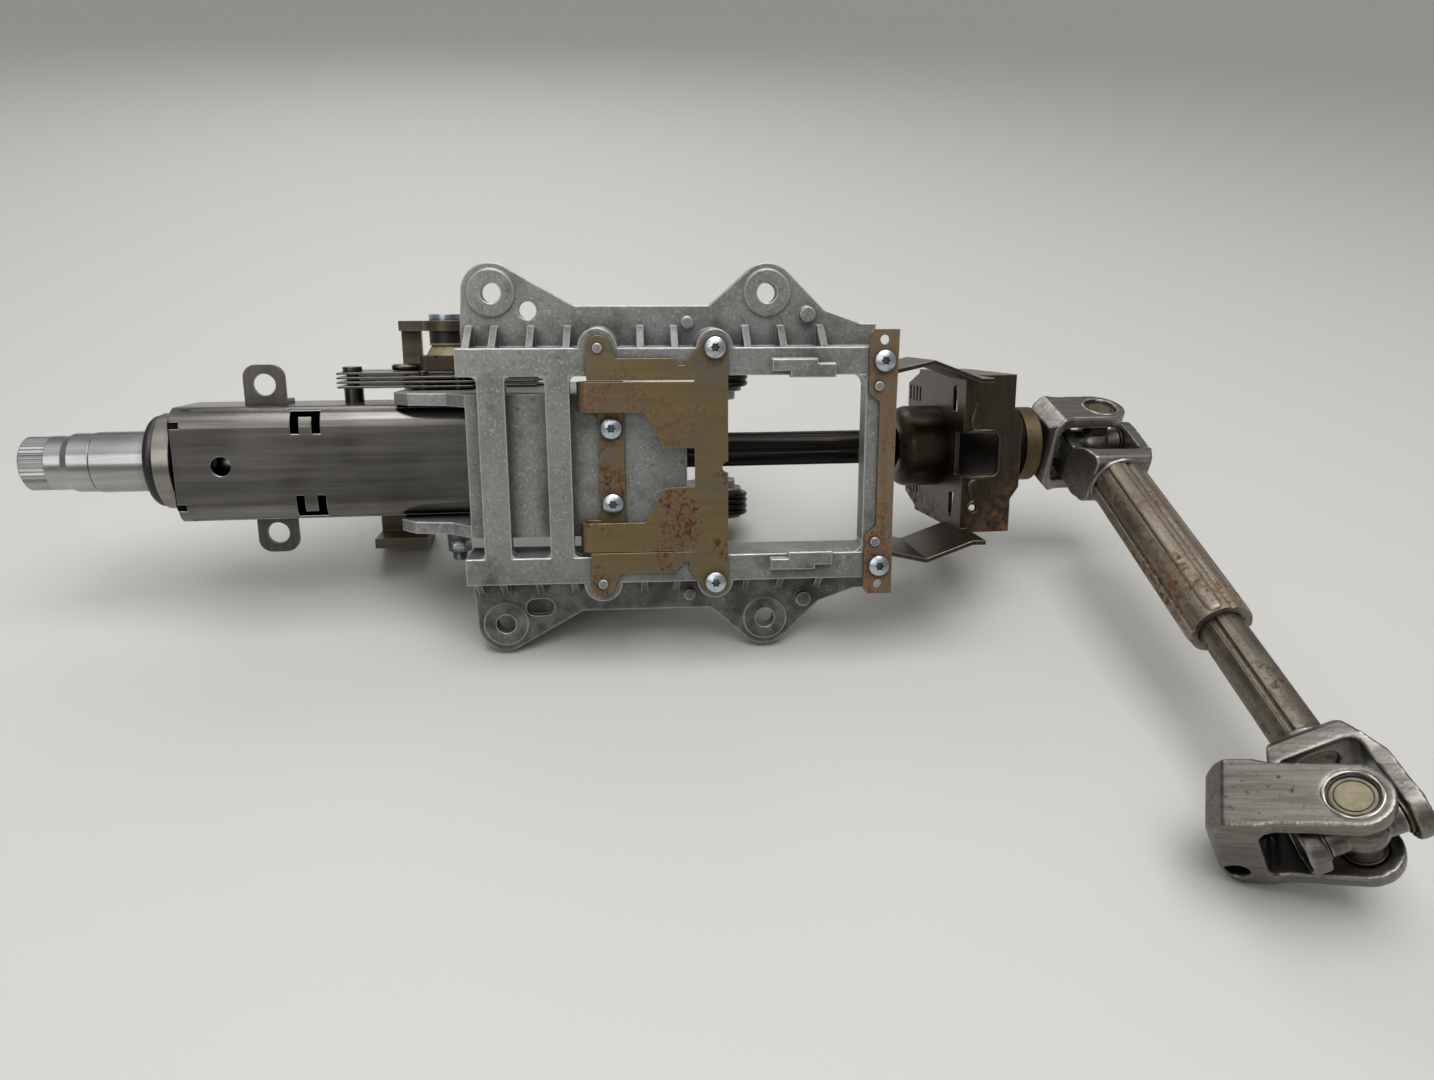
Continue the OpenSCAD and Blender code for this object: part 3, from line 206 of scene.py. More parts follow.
# Steel sheet or bar: two tones that drift, streaks along the rolling direction, clusters of fine rust
# flakes, more of them towards the damp end of a direction, and dark pits where the skin is bare
def rolledSteel(name, tone, second, streak, rust, flakes, axis, metallic, roughness, edgeWearAndHighlight,
                rounding=0.4, pits=0.0):
    mat, tree, skin, at = newMaterial(name, metallic, roughness)
    cluster = blotch(tree, at, flakes["cluster"], flakes["low"], flakes["high"], detail=3.0)
    run = put(tree, "VectorMath", {"operation": "DOT_PRODUCT"}, {0: at, 1: flakes["way"]}).outputs["Value"]
    span = {"Value": run, "From Min": flakes["from"], "From Max": flakes["to"], "To Min": flakes["dry"]}
    damp = put(tree, "MapRange", None, span).outputs[0]
    patch = blotch(tree, at, flakes["size"], low=0.44, high=0.56, detail=4.0)
    for mask in (cluster, damp):
        patch = put(tree, "Math", {"operation": "MULTIPLY"}, {0: patch, 1: mask}).outputs[0]
    flaked = coated(tree, rust, [(flakes["dark"], blotch(tree, at, size=3, low=0.40, high=0.60))])
    lines = drawnOut(axis, 24)
    rolled = blotch(tree, at, size=3, low=0.42, high=0.75, detail=6.0, most=0.8, stretch=lines)
    coats = [(second, blotch(tree, at, size=45, low=0.38, high=0.62, detail=2.0)),
             (streak, rolled), (flaked, patch)]
    if pits:
        pitted = blotch(tree, at, size=1.4, low=0.55, high=0.68, detail=3.0, most=pits)
        coats.append(("2c2721", pitted))
    # Bright edges, partly worn and partly a painted highlight; then painted shade in corners
    coats += [(edgeWearAndHighlight, edgeMask(tree, radius=0.5, low=0.82, high=0.985)),
              ("17130f", paintedShadeMask(tree, reach=6, strength=0.7))]
    tree.links.new(coated(tree, tone, coats), skin.inputs["Base Color"])
    rough = put(tree, "MapRange", None, {"Value": patch, "To Min": roughness, "To Max": 0.85}).outputs[0]
    tree.links.new(rough, skin.inputs["Roughness"])
    dull = put(tree, "MapRange", None, {"Value": patch, "To Min": metallic, "To Max": 0.10}).outputs[0]
    tree.links.new(dull, skin.inputs["Metallic"])
    grain(tree, at, skin, size=1.2, strength=0.20, depth=0.08, rounding=rounding)
    return mat


# Forged steel: grey scale brushed along one way, bright edges that are partly worn and partly a painted highlight,
# pits and brown stains, painted shade in the crotch
def forgedSteel(name, tone, stain, wornAndGlossyEdge, axis, roughness):
    mat, tree, skin, at = newMaterial(name, metallic=0.90, roughness=roughness)
    brushed = blotch(tree, at, size=1.6, low=0.38, high=0.64, detail=6.0, stretch=drawnOut(axis, 16))
    base = coated(tree, tone, [
        (stain, brushed),
        ("2b2723", blotch(tree, at, size=2.4, low=0.60, high=0.72, detail=5.0, most=0.8)),
        ("59402b", blotch(tree, at, size=14, low=0.60, high=0.76, detail=8.0, most=0.8)),
        (wornAndGlossyEdge, edgeMask(tree, radius=2.0, low=0.80, high=0.985)),
        ("100e0b", paintedShadeMask(tree, reach=10, strength=0.95))])
    tree.links.new(base, skin.inputs["Base Color"])
    grain(tree, at, skin, size=1.1, strength=0.45, depth=0.16)
    return mat


# Plain moulded or plated skin: light dust, and painted shade in recesses as strong as corner
def plainSkin(name, tone, dust, metallic, roughness, corner=0.7):
    mat, tree, skin, at = newMaterial(name, metallic, roughness)
    base = coated(tree, tone, [(dust, blotch(tree, at, size=5, low=0.42, high=0.72, detail=5.0)),
                               ("14120f", paintedShadeMask(tree, reach=3, strength=corner))])
    tree.links.new(base, skin.inputs["Base Color"])
    grain(tree, at, skin, size=1.2, strength=0.15, depth=0.06, rounding=0.3)
    return mat


# Two tones on one piece: one up to a place along an axis, another past it, dirt, painted shade in recesses
def twoTone(name, first, second, axis, place, metallic, roughness, dirt=0.7):
    mat, tree, skin, at = newMaterial(name, metallic, roughness)
    fade = 0.1 * mm
    run = put(tree, "VectorMath", {"operation": "DOT_PRODUCT"}, {0: at, 1: tuple(axis)}).outputs["Value"]
    span = {"Value": run, "From Min": place - fade, "From Max": place + fade}
    past = put(tree, "MapRange", None, span).outputs[0]
    base = coated(tree, first, [
        (second, past),
        ("2a241b", blotch(tree, at, size=5, low=0.50, high=0.72, detail=5.0, most=dirt)),
        ("14120f", paintedShadeMask(tree, reach=4, strength=0.7))])
    tree.links.new(base, skin.inputs["Base Color"])
    grain(tree, at, skin, size=1.0, strength=0.20, depth=0.06, rounding=0.4)
    return mat


columnAxis = np.array(joints["reach"]["axis"])
shaftAxis = np.array(joints["shaft_slide"]["axis"])
upAxis = np.array(joints["tilt"]["axis"])
clampAxis = np.array(mounts["pinion_clamp"]["axis"])
column = axesAt(joints["tilt"]["pos_m"], columnAxis, upAxis)
bracket = axesAt(mounts["lugs_wheel_end"]["pos_m"], (1, 0, 0), upAxis)
upperJoint = np.array(joints["upper_yaw"]["pos_m"])
lowerJoint = np.array(joints["lower_yaw"]["pos_m"])

# Rust: size of a cluster and of its flakes in millimetres, noise levels between which it sets in, its dark
# tone, and the direction and distances in metres over which the metal gets damp
down = {"way": (0, 0, -1), "from": -0.115, "to": -0.075, "dry": 0.6}
noRust = {"cluster": 20, "low": 0.80, "high": 0.90, "size": 2, "dark": "4a3020", **down}
fewFlakes = {"cluster": 24, "low": 0.47, "high": 0.58, "size": 1.5, "dark": "3b1a08", **down}
manyFlakes = {"cluster": 22, "low": 0.32, "high": 0.54, "size": 1.2, "dark": "42230f", **down}
broadRust = {"cluster": 34, "low": 0.52, "high": 0.64, "size": 3, "dark": "35200f", **down}
tubeRust = {"cluster": 28, "low": 0.47, "high": 0.62, "size": 2.6, "dark": "442a12", **down}
panRust = {"cluster": 40, "low": 0.20, "high": 0.40, "size": 4, "dark": "3d210d",
           "way": (0.75, 0, -0.66), "from": 0.086, "to": 0.104, "dry": 0.05}

# Where the tone changes along an axis from the origin: on the cam from one finish to the other, on the guide tube
# from painted shade to its olive end ring, on the collar from bare steel to a painted shadow band by the jacket
change = {"tubeRing": 8.0, "collarShade": 3.0}
camSpan = spanOf("lever_cam", column)
camPlace = float((camSpan[0] + camSpan[1])[2] / 2 * mm + column[0] @ upAxis)
tubeEnd = spanOf("guide_tube", column)[1][0]
ringPlace = float((tubeEnd - change["tubeRing"]) * mm + column[0] @ columnAxis)
jacketEnd = spanOf("jacket_tube", column)[0][0]
collarShadePlace = float((jacketEnd - change["collarShade"]) * mm + column[0] @ columnAxis)

finishes = {
    "cast_aluminium": castAlloy("diecastAlloy", "8b8c89", "70706b", "bcbdbb", "f0f0f0"),
    "yellow_zinc_plate": rolledSteel("oliveZincSheet", "7b6c45", "71675a", "6a5c41", "6a340d", fewFlakes,
                                     columnAxis, metallic=0.72, roughness=0.38, edgeWearAndHighlight="a59a7c"),
    "bright_zinc": plainSkin("brightZincPlate", "bcc6cd", "9da3a7",
                             metallic=0.95, roughness=0.28, corner=0.95),
    "rusty_strip": rolledSteel("rustedStripSteel", "7a7160", "74634c", "665b4b", "834814", manyFlakes,
                               upAxis, metallic=0.60, roughness=0.48, edgeWearAndHighlight="998c78"),
    "black_steel": rolledSteel("blackPhosphateSteel", "1b1815", "221e1a", "2c2823", "3b2b1e", noRust,
                               columnAxis, metallic=0.75, roughness=0.30, edgeWearAndHighlight="4a4742"),
    "lamella_steel": rolledSteel("rolledLamellaSteel", "58554f", "4c4944", "6f6c66", "5b4632", noRust,
                                 columnAxis, metallic=0.95, roughness=0.28, edgeWearAndHighlight="a3a09a"),
    "pressed_steel": rolledSteel("oiledSheetSteel", "4b443a", "413a31", "544c41", "6b3c18", panRust,
                                 upAxis, metallic=0.90, roughness=0.30, edgeWearAndHighlight="a99d88", rounding=0.8),
    "black_plastic": plainSkin("blackPolyamide", "171717", "262522", metallic=0.0, roughness=0.55),
    # Guide tube: near black up to its olive end ring, painted shade where it lies inside the pivot bracket
    "yellow_zinc": twoTone("zincTubeWithPaintedShade", "15120f", "5f5239", columnAxis, ringPlace,
                           metallic=0.75, roughness=0.40),
    "cam_bronze": plainSkin("brownPolyamide", "35280f", "241b0c", metallic=0.05, roughness=0.36),
    "bearing_steel": plainSkin("bearingSteel", "c4c4c4", "a8a8a8", metallic=1.0, roughness=0.20),
    "lever_steel": rolledSteel("oliveZincLever", "5f5748", "50483a", "6b624f", "5f452c", noRust,
                               columnAxis, metallic=0.80, roughness=0.40, edgeWearAndHighlight="b3aa98"),
    # The jacket's near-white edge tone is a painted highlight along its rounded corners
    "jacket_steel": rolledSteel("drawnTubeSteel", "6f6c68", "585551", "8a8783", "5a4636", noRust,
                                columnAxis, metallic=1.0, roughness=0.24, edgeWearAndHighlight="e6e3dd", rounding=0.6),
    "ground_steel": rolledSteel("groundShaftSteel", "a9a9a8", "939392", "bdbdbc", "84807a", noRust,
                                columnAxis, metallic=1.0, roughness=0.24, edgeWearAndHighlight="d8d8d8"),
    "black_rubber": plainSkin("nitrileRubber", "0c0c0c", "171615", metallic=0.0, roughness=0.42),
    "forged_steel": forgedSteel("forgedBrushedSteel", "7c7872", "625e58", "c0bcb5", clampAxis,
                                roughness=0.34),
    "cup_steel": plainSkin("yellowedCupSteel", "8a816c", "6c634f",
                           metallic=0.90, roughness=0.36, corner=0.9),
    "rusty_shaft": rolledSteel("bareShaftSteel", "7d7669", "696256", "564f44", "5a3a18", broadRust,
                               shaftAxis, metallic=0.88, roughness=0.38, edgeWearAndHighlight="a89d8b", pits=0.6),
}
# A lighter copy of the forged finish for the upper yokes, the tube yoke and the upper cross: painted light on
# parts of the same steel that lie in more shade
paintedLightForging = forgedSteel("forgedSteelPaintedLight", "938e88", "78736d", "c6c2bb", columnAxis, roughness=0.34)
brownTube = rolledSteel("brownedTubeSteel", "9a8f80", "82776a", "6c6256", "6a4218", tubeRust,
                        shaftAxis, metallic=0.88, roughness=0.43, edgeWearAndHighlight="b4a896", pits=0.6)
ownFinish = {
    "outer_tube": brownTube,
    "upper_yoke": paintedLightForging, "tube_yoke": paintedLightForging, "upper_cross": paintedLightForging,
    "lever_cam": twoTone("amberNylonCam", "877a58", "191613", upAxis, camPlace,
                         metallic=0.0, roughness=0.45),
    # Collar: bare turned steel, then a near-black band by the jacket, a painted shadow of the gap between them
    "bearing_carrier": twoTone("turnedCollarSteel", "8b8780", "0a0908", columnAxis, collarShadePlace,
                               metallic=0.95, roughness=0.27, dirt=0.2),
    "mounting_ears": rolledSteel("stampedEarSteel", "5d5a56", "524f4b", "6b6864", "4b3a2c", noRust,
                                 upAxis, metallic=0.95, roughness=0.34, edgeWearAndHighlight="b5b2ac"),
    "bearing_dome": rolledSteel("oiledDomeSteel", "453c31", "372f26", "4a4136", "4a2c17", broadRust,
                                columnAxis, metallic=0.90, roughness=0.33, edgeWearAndHighlight="7d7261"),
}
slotOf = {s["node"]: s["material_slot"] for s in frame["record"]["subparts"]}
for name, obj in nodes.items():
    for s in obj.material_slots:
        s.material = ownFinish.get(name, finishes[slotOf[name]])
print("stage: finishes set,", len(finishes) + len(ownFinish))


# Mesh from point and face arrays, smooth, with a finish, riding on a body
def addPiece(name, points, faces, slot, body, finish=None):
    mesh = bpy.data.meshes.new(name)
    mesh.from_pydata(points.tolist(), [], faces)
    mesh.materials.append(finish or finishes[slot])
    mesh.shade_smooth()
    obj = bpy.data.objects.new(name, mesh)
    scene.collection.objects.link(obj)
    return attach(obj, body)


# Quads between neighbouring rings: each point, the next one round, and the same two on the next ring
def ringQuads(count, ring, loop=False):
    i, k = np.arange(count - (0 if loop else 1))[:, None], np.arange(ring)[None, :]
    j, m = (i + 1) % count, (k + 1) % ring
    return np.stack([i * ring + k, i * ring + m, j * ring + m, j * ring + k], -1).reshape(-1, 4).tolist()


# Faces that close the first and the last ring
def endCaps(count, ring):
    last = (count - 1) * ring
    return [list(range(ring))[::-1], list(range(last, last + ring))]


# Oval ring carried along a path: path + cos(a) wide side + sin(a) high up, side square to path and up
def sweep(path, up, wide, high, loop=False, ring=14):
    step = np.roll(path, -1, 0) - np.roll(path, 1, 0) if loop else np.gradient(path, axis=0)
    up = np.broadcast_to(up, path.shape)
    side = np.cross(up, step)
    side = side / np.linalg.norm(side, axis=1, keepdims=True)
    a = np.linspace(0, 2 * np.pi, ring, endpoint=False)
    out = np.broadcast_to(wide, len(path))[:, None, None] * np.cos(a)[None, :, None] * side[:, None]
    rise = np.broadcast_to(high, len(path))[:, None, None] * np.sin(a)[None, :, None] * up[:, None]
    faces = ringQuads(len(path), ring, loop)
    if not loop:
        faces += endCaps(len(path), ring)
    return (path[:, None] + out + rise).reshape(-1, 3), faces


ringStart = (0.31, 0.87, 0.39)  # sets where a ring begins, and so where its dents lie


# Ring bead round an axis: a circle of centres, its oval swelling count times round by depth
def rippleRing(centre, axis, radius, wide, high, count=0, depth=0.0, steps=144):
    axis = np.array(axis) / np.linalg.norm(axis)
    e1 = np.cross(axis, ringStart)
    e1 = e1 / np.linalg.norm(e1)
    e2 = np.cross(axis, e1)
    t = np.linspace(0, 2 * np.pi, steps, endpoint=False)
    path = np.array(centre) + radius * mm * (np.cos(t)[:, None] * e1 + np.sin(t)[:, None] * e2)
    swell = 1 + depth * np.cos(count * t)
    return sweep(path, axis, wide * mm * swell, high * mm * swell, True)


# Several point and face sets as one
def joined(parts):
    points, faces, start = [], [], 0
    for p, f in parts:
        points.append(p)
        faces += [(np.array(q) + start).tolist() for q in f]
        start += len(p)
    return np.concatenate(points), faces


# Smooth path through corner points: each corner is cut by a quadratic arc
def rounded(corners, cut, steps=8):
    c = np.array(corners, float)
    path = [c[:1]]
    t = np.linspace(0, 1, steps)[:, None]
    for a, b, d in zip(c[:-2], c[1:-1], c[2:]):
        p = b + (a - b) / np.linalg.norm(a - b) * cut
        q = b + (d - b) / np.linalg.norm(d - b) * cut
        path.append((1 - t) ** 2 * p + 2 * t * (1 - t) * b + t ** 2 * q)
    return np.concatenate(path + [c[-1:]])


# Turned or hexagonal stack along a frame's z: rings of radius r, or r to the flats where a row has 6 sides
def turned(at, rows, ring=60):
    t = np.linspace(0, 2 * np.pi, ring, endpoint=False)
    flat = np.cos(np.mod(t, np.pi / 3) - np.pi / 6)
    z, r, sides = np.array(rows, float).T
    reach = np.where(sides[:, None] == 6, r[:, None] / flat, r[:, None])
    points = np.stack([reach * np.cos(t), reach * np.sin(t), np.broadcast_to(z[:, None], reach.shape)], -1)
    return placed(at, points.reshape(-1, 3)), ringQuads(len(rows), ring) + endCaps(len(rows), ring)


# Outline in x and z carried along y between two depths, wound so that its faces look out
def prism(at, outline, front, back):
    x, z = np.array(outline).T
    if np.sum(x * np.roll(z, -1) - np.roll(x, -1) * z) < 0:
        x, z = x[::-1], z[::-1]
    n = len(x)
    points = np.concatenate([np.stack([x, np.full(n, y), z], 1) for y in (front, back)])
    k = np.arange(n)
    walls = np.stack([k, n + k, n + (k + 1) % n, (k + 1) % n], 1).tolist()
    return placed(at, points), walls + [list(range(n)), list(range(2 * n - 1, n - 1, -1))]


# Painted shade: a black ring round each bearing cup where its groove lies in shade, and the lip with six dents
# that stakes it, on both ends of a joint pin
crimp = {"reach": 20.6, "radius": 8.9, "wide": 0.7, "high": 0.5, "dents": 6, "depth": 0.4,
         "gapReach": 19.9, "gapRadius": 7.9, "gapWide": 0.55, "gapHigh": 0.45}
pins = {"upperYoke": ("upper_yaw", "fluted_shaft", paintedLightForging),
        "tubeYoke": ("upper_pitch", "tube", paintedLightForging),
        "innerYoke": ("lower_pitch", "inner", None),
        "clampYoke": ("lower_yaw", "pinion_yoke", None)}
for name, (joint, body, finish) in pins.items():
    pin, centre = np.array(joints[joint]["axis"]), np.array(joints[joint]["pos_m"])
    lips = [rippleRing(centre + side * crimp["reach"] * mm * pin, side * pin, crimp["radius"],
                       crimp["wide"], crimp["high"], crimp["dents"], crimp["depth"]) for side in (-1, 1)]
    gaps = [rippleRing(centre + side * crimp["gapReach"] * mm * pin, side * pin, crimp["gapRadius"],
                       crimp["gapWide"], crimp["gapHigh"]) for side in (-1, 1)]
    addPiece(name + "Crimps", *joined(lips), "forged_steel", body, finish)
    # Black rings of painted shade round the cups
    addPiece(name + "CupShadeRing", *joined(gaps), "black_rubber", body)

# Weld fillets where the yokes meet their shafts: joint, direction, reach, radius, bead, body and finish
weld = {"ripples": 9, "depth": 0.05, "steps": 288}
welds = {"tubeWeld": (upperJoint, shaftAxis, 35.8, 13.0, 1.6, "tube", paintedLightForging),
         "innerWeld": (lowerJoint, -shaftAxis, 35.6, 9.6, 1.3, "inner", None),
         "upperWeld": (upperJoint, -columnAxis, 32.0, 7.8, 1.2, "fluted_shaft", paintedLightForging)}
for name, (joint, axis, reach, radius, bead, body, finish) in welds.items():
    points, faces = rippleRing(joint + reach * mm * axis, axis, radius, bead, bead,
                               weld["ripples"], weld["depth"], weld["steps"])
    addPiece(name, points, faces, "forged_steel", body, finish)

# Drawn ribs along the outer tube: ovals on straight lines in its wall, their ends swelling as a square root
rib = {"count": 4, "turn": 30, "sink": 0.35, "wide": 3.4, "high": 1.15, "gap": 5.0, "short": 0.4,
       "startSwell": 0.3, "endSwell": 2, "swellLength": 5, "steps": 48}
shaftFrame = axesAt(upperJoint, shaftAxis, upAxis)
tubeLow, tubeHigh = spanOf("outer_tube", shaftFrame)
tubeRadius = (tubeHigh[2] - tubeLow[2]) / 2
x = np.linspace(tubeLow[0] + rib["gap"], tubeHigh[0] - rib["short"], rib["steps"])
fromEnds = np.minimum(x - x[0] + rib["startSwell"], x[-1] - x + rib["endSwell"])
swell = np.minimum(1, fromEnds / rib["swellLength"]) ** 0.5
ribs = []
for k in range(rib["count"]):
    a = np.radians(rib["turn"] + 360 / rib["count"] * k)
    out = np.array([0, np.cos(a), np.sin(a)])
    line = np.stack([x, 0 * x, 0 * x], 1) + (tubeRadius - rib["sink"]) * out
    ribs.append(sweep(placed(shaftFrame, line), shaftFrame[1] @ out,
                      rib["wide"] * mm * swell, rib["high"] * mm * swell))
addPiece("tubeRibs", *joined(ribs), "rusty_shaft", "tube", brownTube)
print("stage: crimps, welds and ribs made")

# Rubber seal on the bearing carrier: a round lip ring beside the collar
seal = {"stand": 2.2, "radius": 18.2, "wide": 3.0, "high": 3.0}
sealAt = placed(column, [spanOf("bearing_carrier", column)[0][0] - seal["stand"], 0, 0])[0]
lipRing = rippleRing(sealAt, columnAxis, seal["radius"], seal["wide"], seal["high"])
addPiece("carrierSeal", *lipRing, "black_rubber", "jacket")

# Cast fillets in the corners of the bracket's windows, each from its corner to a quarter circle:
# x of the corner, side that the window lies on, radius and depth
fillet = {"front": -17.97, "rail": 40.0, "lap": 0.3, "steps": 9,
          "corners": [(-5.4, -1, 3.0, -10.0), (6.4, 1, 3.0, -10.0), (23.6, -1, 3.0, -10.0),
                      (34.0, 1, 3.0, -10.0), (164.0, -1, 5.0, -7.0)]}
quarter = np.linspace(0, np.pi / 2, fillet["steps"])
rail, lap = fillet["rail"], fillet["lap"]
fillets = []
for x, way, r, back in fillet["corners"]:
    for side in (-1, 1):
        arc = np.stack([x + way * r * (1 - np.cos(quarter)), side * (rail - r * (1 - np.sin(quarter)))], 1)
        corner = [[x + way * r, side * (rail + lap)], [x - way * lap, side * (rail + lap)],
                  [x - way * lap, side * (rail - r)]]
        fillets.append(prism(bracket, np.concatenate([arc, corner]), fillet["front"], back))
filletPiece = addPiece("windowFillets", *joined(fillets), "cast_aluminium", "bracket")
filletPiece.data.shade_flat()

# Pressed marks on the pivot bracket's front wall: a lip round the window, two drops and a hole collar;
# a drop is fat near the window and drawn out to a point, as a sine of the way along to a power
pan = {"face": -41.0, "left": 11.6, "right": 29.6, "half": 11.2, "lipWide": 1.1, "lipHigh": 0.7, "cut": 4.5,
       "dropX": 17.0, "dropEnd": 24.0, "dropGap": 0.6, "dropWide": 3.4, "dropHigh": 1.1, "dropSteps": 26,
       "dropLean": 0.55, "dropFull": 0.8, "hole": (17.0, -26.0), "collar": 2.7, "collarWide": 0.8,
       "collarHigh": 0.7}
lip = rounded([(pan["left"], pan["half"]), (pan["right"], pan["half"]),
               (pan["right"], -pan["half"]), (pan["left"], -pan["half"])], pan["cut"])
lipPath = placed(column, np.stack([lip[:, 0], np.full(len(lip), pan["face"]), lip[:, 1]], 1))
outward = -column[1][:, 1]
marks = [sweep(lipPath, outward, pan["lipWide"] * mm, pan["lipHigh"] * mm)]
s = np.linspace(0.002, 1, pan["dropSteps"])  # never quite 0, so that the tip keeps a width
fat = np.sin(np.pi * s ** pan["dropLean"]) ** pan["dropFull"] + 1e-4
for side in (-1, 1):
    z = side * (pan["half"] + pan["dropGap"] + s * (pan["dropEnd"] - pan["half"]))
    drop = placed(column, np.stack([np.full(len(s), pan["dropX"]), np.full(len(s), pan["face"]), z], 1))
    marks.append(sweep(drop, outward, pan["dropWide"] * mm * fat, pan["dropHigh"] * mm * fat))
holeAt = placed(column, [pan["hole"][0], pan["face"], pan["hole"][1]])[0]
marks.append(rippleRing(holeAt, outward, pan["collar"], pan["collarWide"], pan["collarHigh"]))
addPiece("panEmbossing", *joined(marks), "pressed_steel", "bracket")

# Sheet edge along the jacket's corners: a fine oval ridge on a straight line on each rounded corner
seam = {"start": -346.0, "end": -168.0, "y": -16.0, "z": 17.0, "r": 9.0, "turn": 62,
        "wide": 0.55, "high": 0.28, "steps": 40}
lean = np.radians(seam["turn"])
x = np.linspace(seam["start"], seam["end"], seam["steps"])
ridges = []
for side in (-1, 1):
    out = np.array([0, -np.cos(lean), side * np.sin(lean)])
    line = np.stack([x, np.full(len(x), seam["y"]), np.full(len(x), side * seam["z"])], 1)
    ridges.append(sweep(placed(column, line + seam["r"] * out), column[1] @ out,
                        seam["wide"] * mm, seam["high"] * mm))
addPiece("jacketSeams", *joined(ridges), "jacket_steel", "jacket")

# Bent wire leg of the cam's return spring, lying on the lamellae: a round wire along a rounded hook
leg = {"from": -248.0, "to": -260.5, "near": 22.0, "far": 29.5, "rise": 41.3, "wire": 1.5, "cut": 3.6}
hook = rounded([(leg["from"], leg["near"], leg["rise"]), (leg["to"], leg["near"], leg["rise"]),
                (leg["to"], leg["far"], leg["rise"]), (leg["from"], leg["far"], leg["rise"])], leg["cut"])
legWire = sweep(placed(column, hook), upAxis, leg["wire"] * mm, leg["wire"] * mm)
addPiece("camSpringLeg", *legWire, "lamella_steel", "tilt_head")

# Lower end of the clamp bolt: a thread whose radius is a cosine along its length, then the profile of nut
# and spacer as depth below the seat, radius and number of sides, 0 for round
stack = {"thread": 3.6, "crest": 0.35, "pitch": 1.25, "end": 24.6, "nutLow": 20.4, "step": 0.2,
         "profile": [(20.4, 4.4, 0), (20.0, 5.2, 6), (14.6, 5.2, 6), (14.0, 4.8, 0),
                     (13.9, 6.2, 0), (0.3, 6.2, 0), (0.0, 5.8, 0)]}
nutSpan = spanOf("clamp_nut", column)
middle = (nutSpan[0] + nutSpan[1]) / 2
foot = axesAt(placed(column, [middle[0], middle[1], nutSpan[1][2]])[0], columnAxis, upAxis)
z = np.arange(stack["end"], stack["nutLow"], -stack["step"])
thread = np.stack([z, stack["thread"] + stack["crest"] * np.cos(2 * np.pi * z / stack["pitch"]), 0 * z], 1)
rows = np.concatenate([thread, stack["profile"]]) * [-1, 1, 1]
nutPiece = addPiece("clampNutStack", *turned(foot, rows), "bright_zinc", "tilt_head")
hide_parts("clamp_nut")

# Balance springs: a round wire wound as a helix of three and a quarter turns, with a straight leg per end
coil = {"x": 109.0, "y": 92.0, "radius": 13.0, "wire": 3.0, "pitch": 3.2, "turns": 3.25, "leg": 15.0,
        "from": -90, "steps": 160}
top = spanOf("balance_springs", bracket)[1][2] - coil["wire"] / 2
wireRadius = coil["wire"] / 2 * mm
turns = np.linspace(0, coil["turns"], coil["steps"])
angle = np.radians(coil["from"]) + 2 * np.pi * turns
rise = top - coil["pitch"] * (coil["turns"] - turns)
wound = np.stack([coil["radius"] * np.cos(angle), coil["radius"] * np.sin(angle), rise], 1)
away = np.stack([-np.sin(angle), np.cos(angle), 0 * angle], 1)[[0, -1]] * coil["leg"]
wound = np.concatenate([wound[:1] - away[:1], wound, wound[-1:] + away[1:]]) + [coil["x"], coil["y"], 0]
springs = [sweep(placed(bracket, wound * [1, 1, side]), upAxis, wireRadius, wireRadius) for side in (-1, 1)]
springPiece = addPiece("balanceSpringWire", *joined(springs), "black_steel", "bracket")
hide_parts("balance_springs")
print("stage: pan, jacket, clamp and spring details made")

# Forged yokes: a merged copy of each, put on a fine grid and relaxed, which rounds its edges
forging = {"merge": 1e-6, "grid": 0.6, "rounds": 16, "share": 0.5,
           "yokes": {"upper_yoke": "fluted_shaft", "tube_yoke": "tube", "inner_yoke": "inner",
                     "clamp_yoke": "pinion_yoke"}}
for node, body in forging["yokes"].items():
    mesh = nodes[node].data.copy()
    bm = bmesh.new()
    bm.from_mesh(mesh)
    bmesh.ops.remove_doubles(bm, verts=bm.verts, dist=forging["merge"])
    bm.to_mesh(mesh)
    bm.free()
    obj = bpy.data.objects.new(node + "_forging", mesh)
    scene.collection.objects.link(obj)
    grid = obj.modifiers.new("grid", "REMESH")
    grid.mode = "VOXEL"
    grid.voxel_size = forging["grid"] * mm
    grid.use_smooth_shade = True
    relax = obj.modifiers.new("relax", "SMOOTH")
    relax.factor = forging["share"]
    relax.iterations = forging["rounds"]
    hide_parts(node)
    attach(obj, body)
print("stage: forgings made")

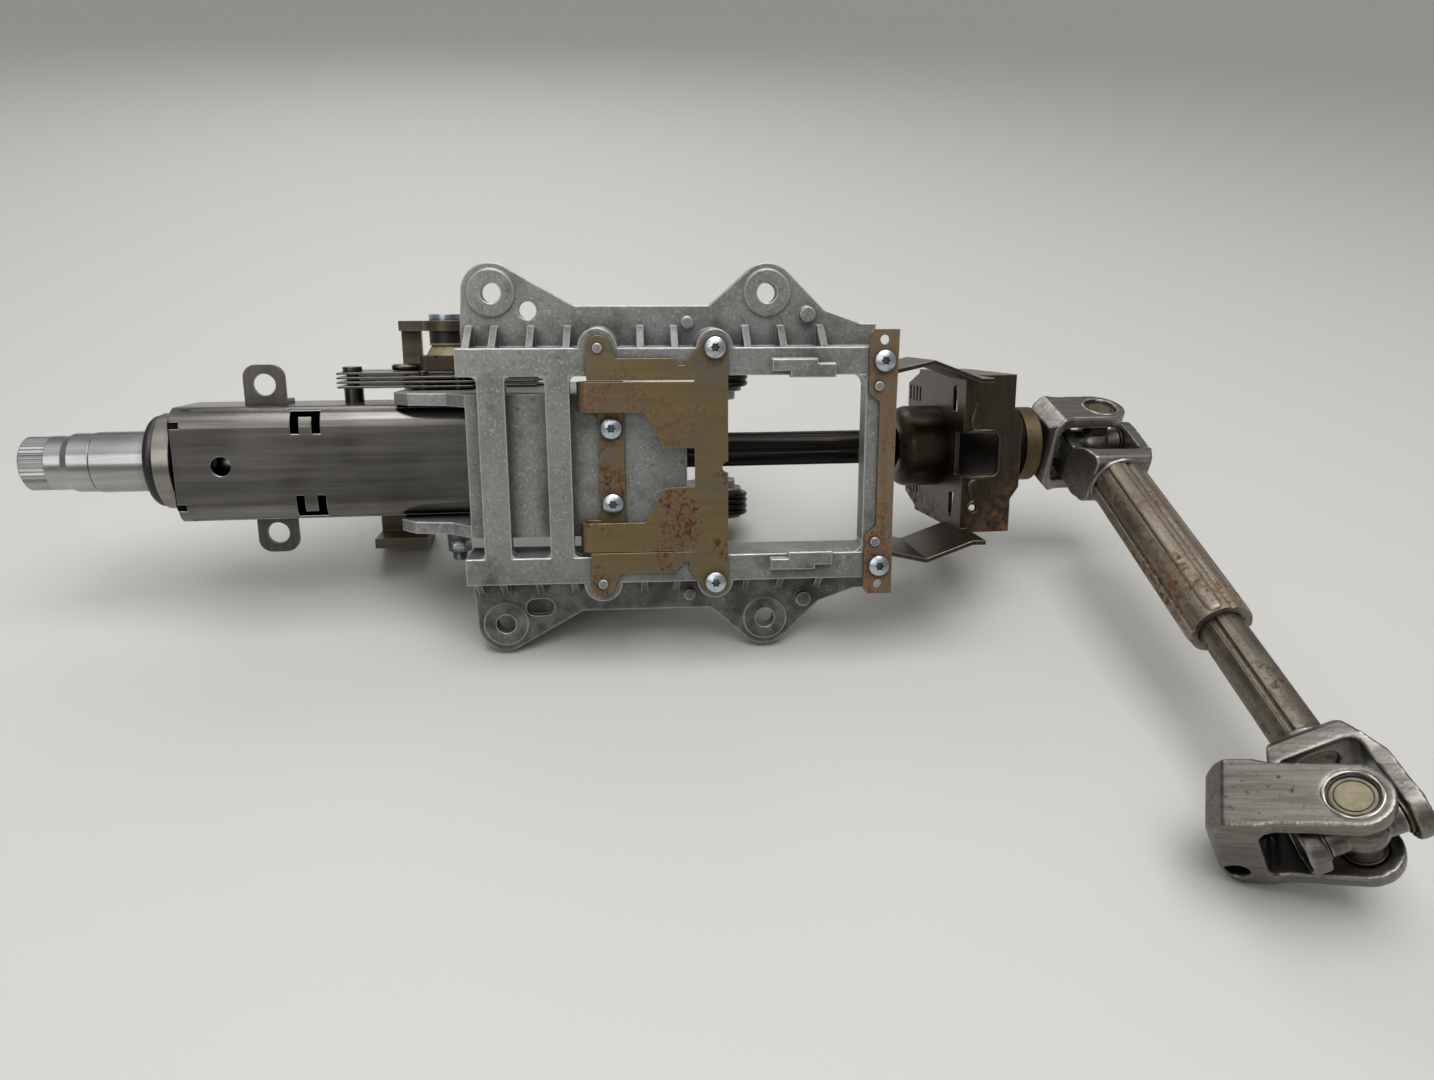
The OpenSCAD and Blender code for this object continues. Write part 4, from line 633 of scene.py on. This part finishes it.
# Bench top: a round floor, level out to the flat radius, whose rim rises by half a cosine wave
bench = {"core": 0.1, "flat": 2.5, "reach": 7.0, "rise": 3.2, "rings": 40, "steps": 96,
         "tone": "c0bfba", "roughness": 0.6}
out = np.linspace(bench["core"], bench["reach"], bench["rings"])[:, None]
climb = np.clip((out - bench["flat"]) / (bench["reach"] - bench["flat"]), 0, 1)
around = np.linspace(0, 2 * np.pi, bench["steps"], endpoint=False)[None, :]
lift = bench["rise"] * (1 - np.cos(np.pi * climb)) / 2 + 0 * around
points = np.stack([out * np.cos(around), out * np.sin(around), lift], -1).reshape(-1, 3)
faces = [q[::-1] for q in ringQuads(bench["rings"], bench["steps"])] + [list(range(bench["steps"]))]
mesh = bpy.data.meshes.new("benchTop")
mesh.from_pydata(points.tolist(), [], faces)
mesh.shade_smooth()
paint, _, skin, _ = newMaterial("benchPaint", metallic=0.0, roughness=bench["roughness"])
skin.inputs["Base Color"].default_value = colour(bench["tone"])
mesh.materials.append(paint)
benchTop = bpy.data.objects.new("benchTop", mesh)
scene.collection.objects.link(benchTop)

# Room light: bright overhead and dim level with the bench, and three broad lamps
room = {"tone": "f4f5f6", "from": (0, 0, 1), "bright": 1.0, "dim": 0.28, "dimBelow": 0.64, "brightAt": 1.0}
world = bpy.data.worlds.new("room")
world.use_nodes = True
tree = world.node_tree
way = put(tree, "VectorMath", {"operation": "DOT_PRODUCT"},
          {0: put(tree, "TexCoord").outputs["Generated"], 1: room["from"]}).outputs["Value"]
span = {"Value": way, "From Min": room["dimBelow"], "From Max": room["brightAt"],
        "To Min": room["dim"], "To Max": room["bright"]}
glow = put(tree, "MapRange", None, span).outputs[0]
backdrop = tree.nodes["Background"]
backdrop.inputs[0].default_value = colour(room["tone"])
tree.links.new(glow, backdrop.inputs[1])
scene.world = world
lamps = {"overhead": {"place": (0.1, -0.25, 1.5), "turn": (0, 0, 0), "size": 1.2, "watts": 18},
         "front": {"place": (-0.7, -1.3, 1.1), "turn": (52, 0, -28), "size": 1.0, "watts": 5},
         "back": {"place": (-0.3, 1.2, 1.0), "turn": (-50, 0, 0), "size": 0.8, "watts": 5}}
for name, lamp in lamps.items():
    data = bpy.data.lights.new(name, "AREA")
    data.size = lamp["size"]
    data.energy = lamp["watts"]
    obj = bpy.data.objects.new(name, data)
    obj.location = lamp["place"]
    obj.rotation_euler = np.radians(lamp["turn"])
    scene.collection.objects.link(obj)
print("stage: bench and lamps set")
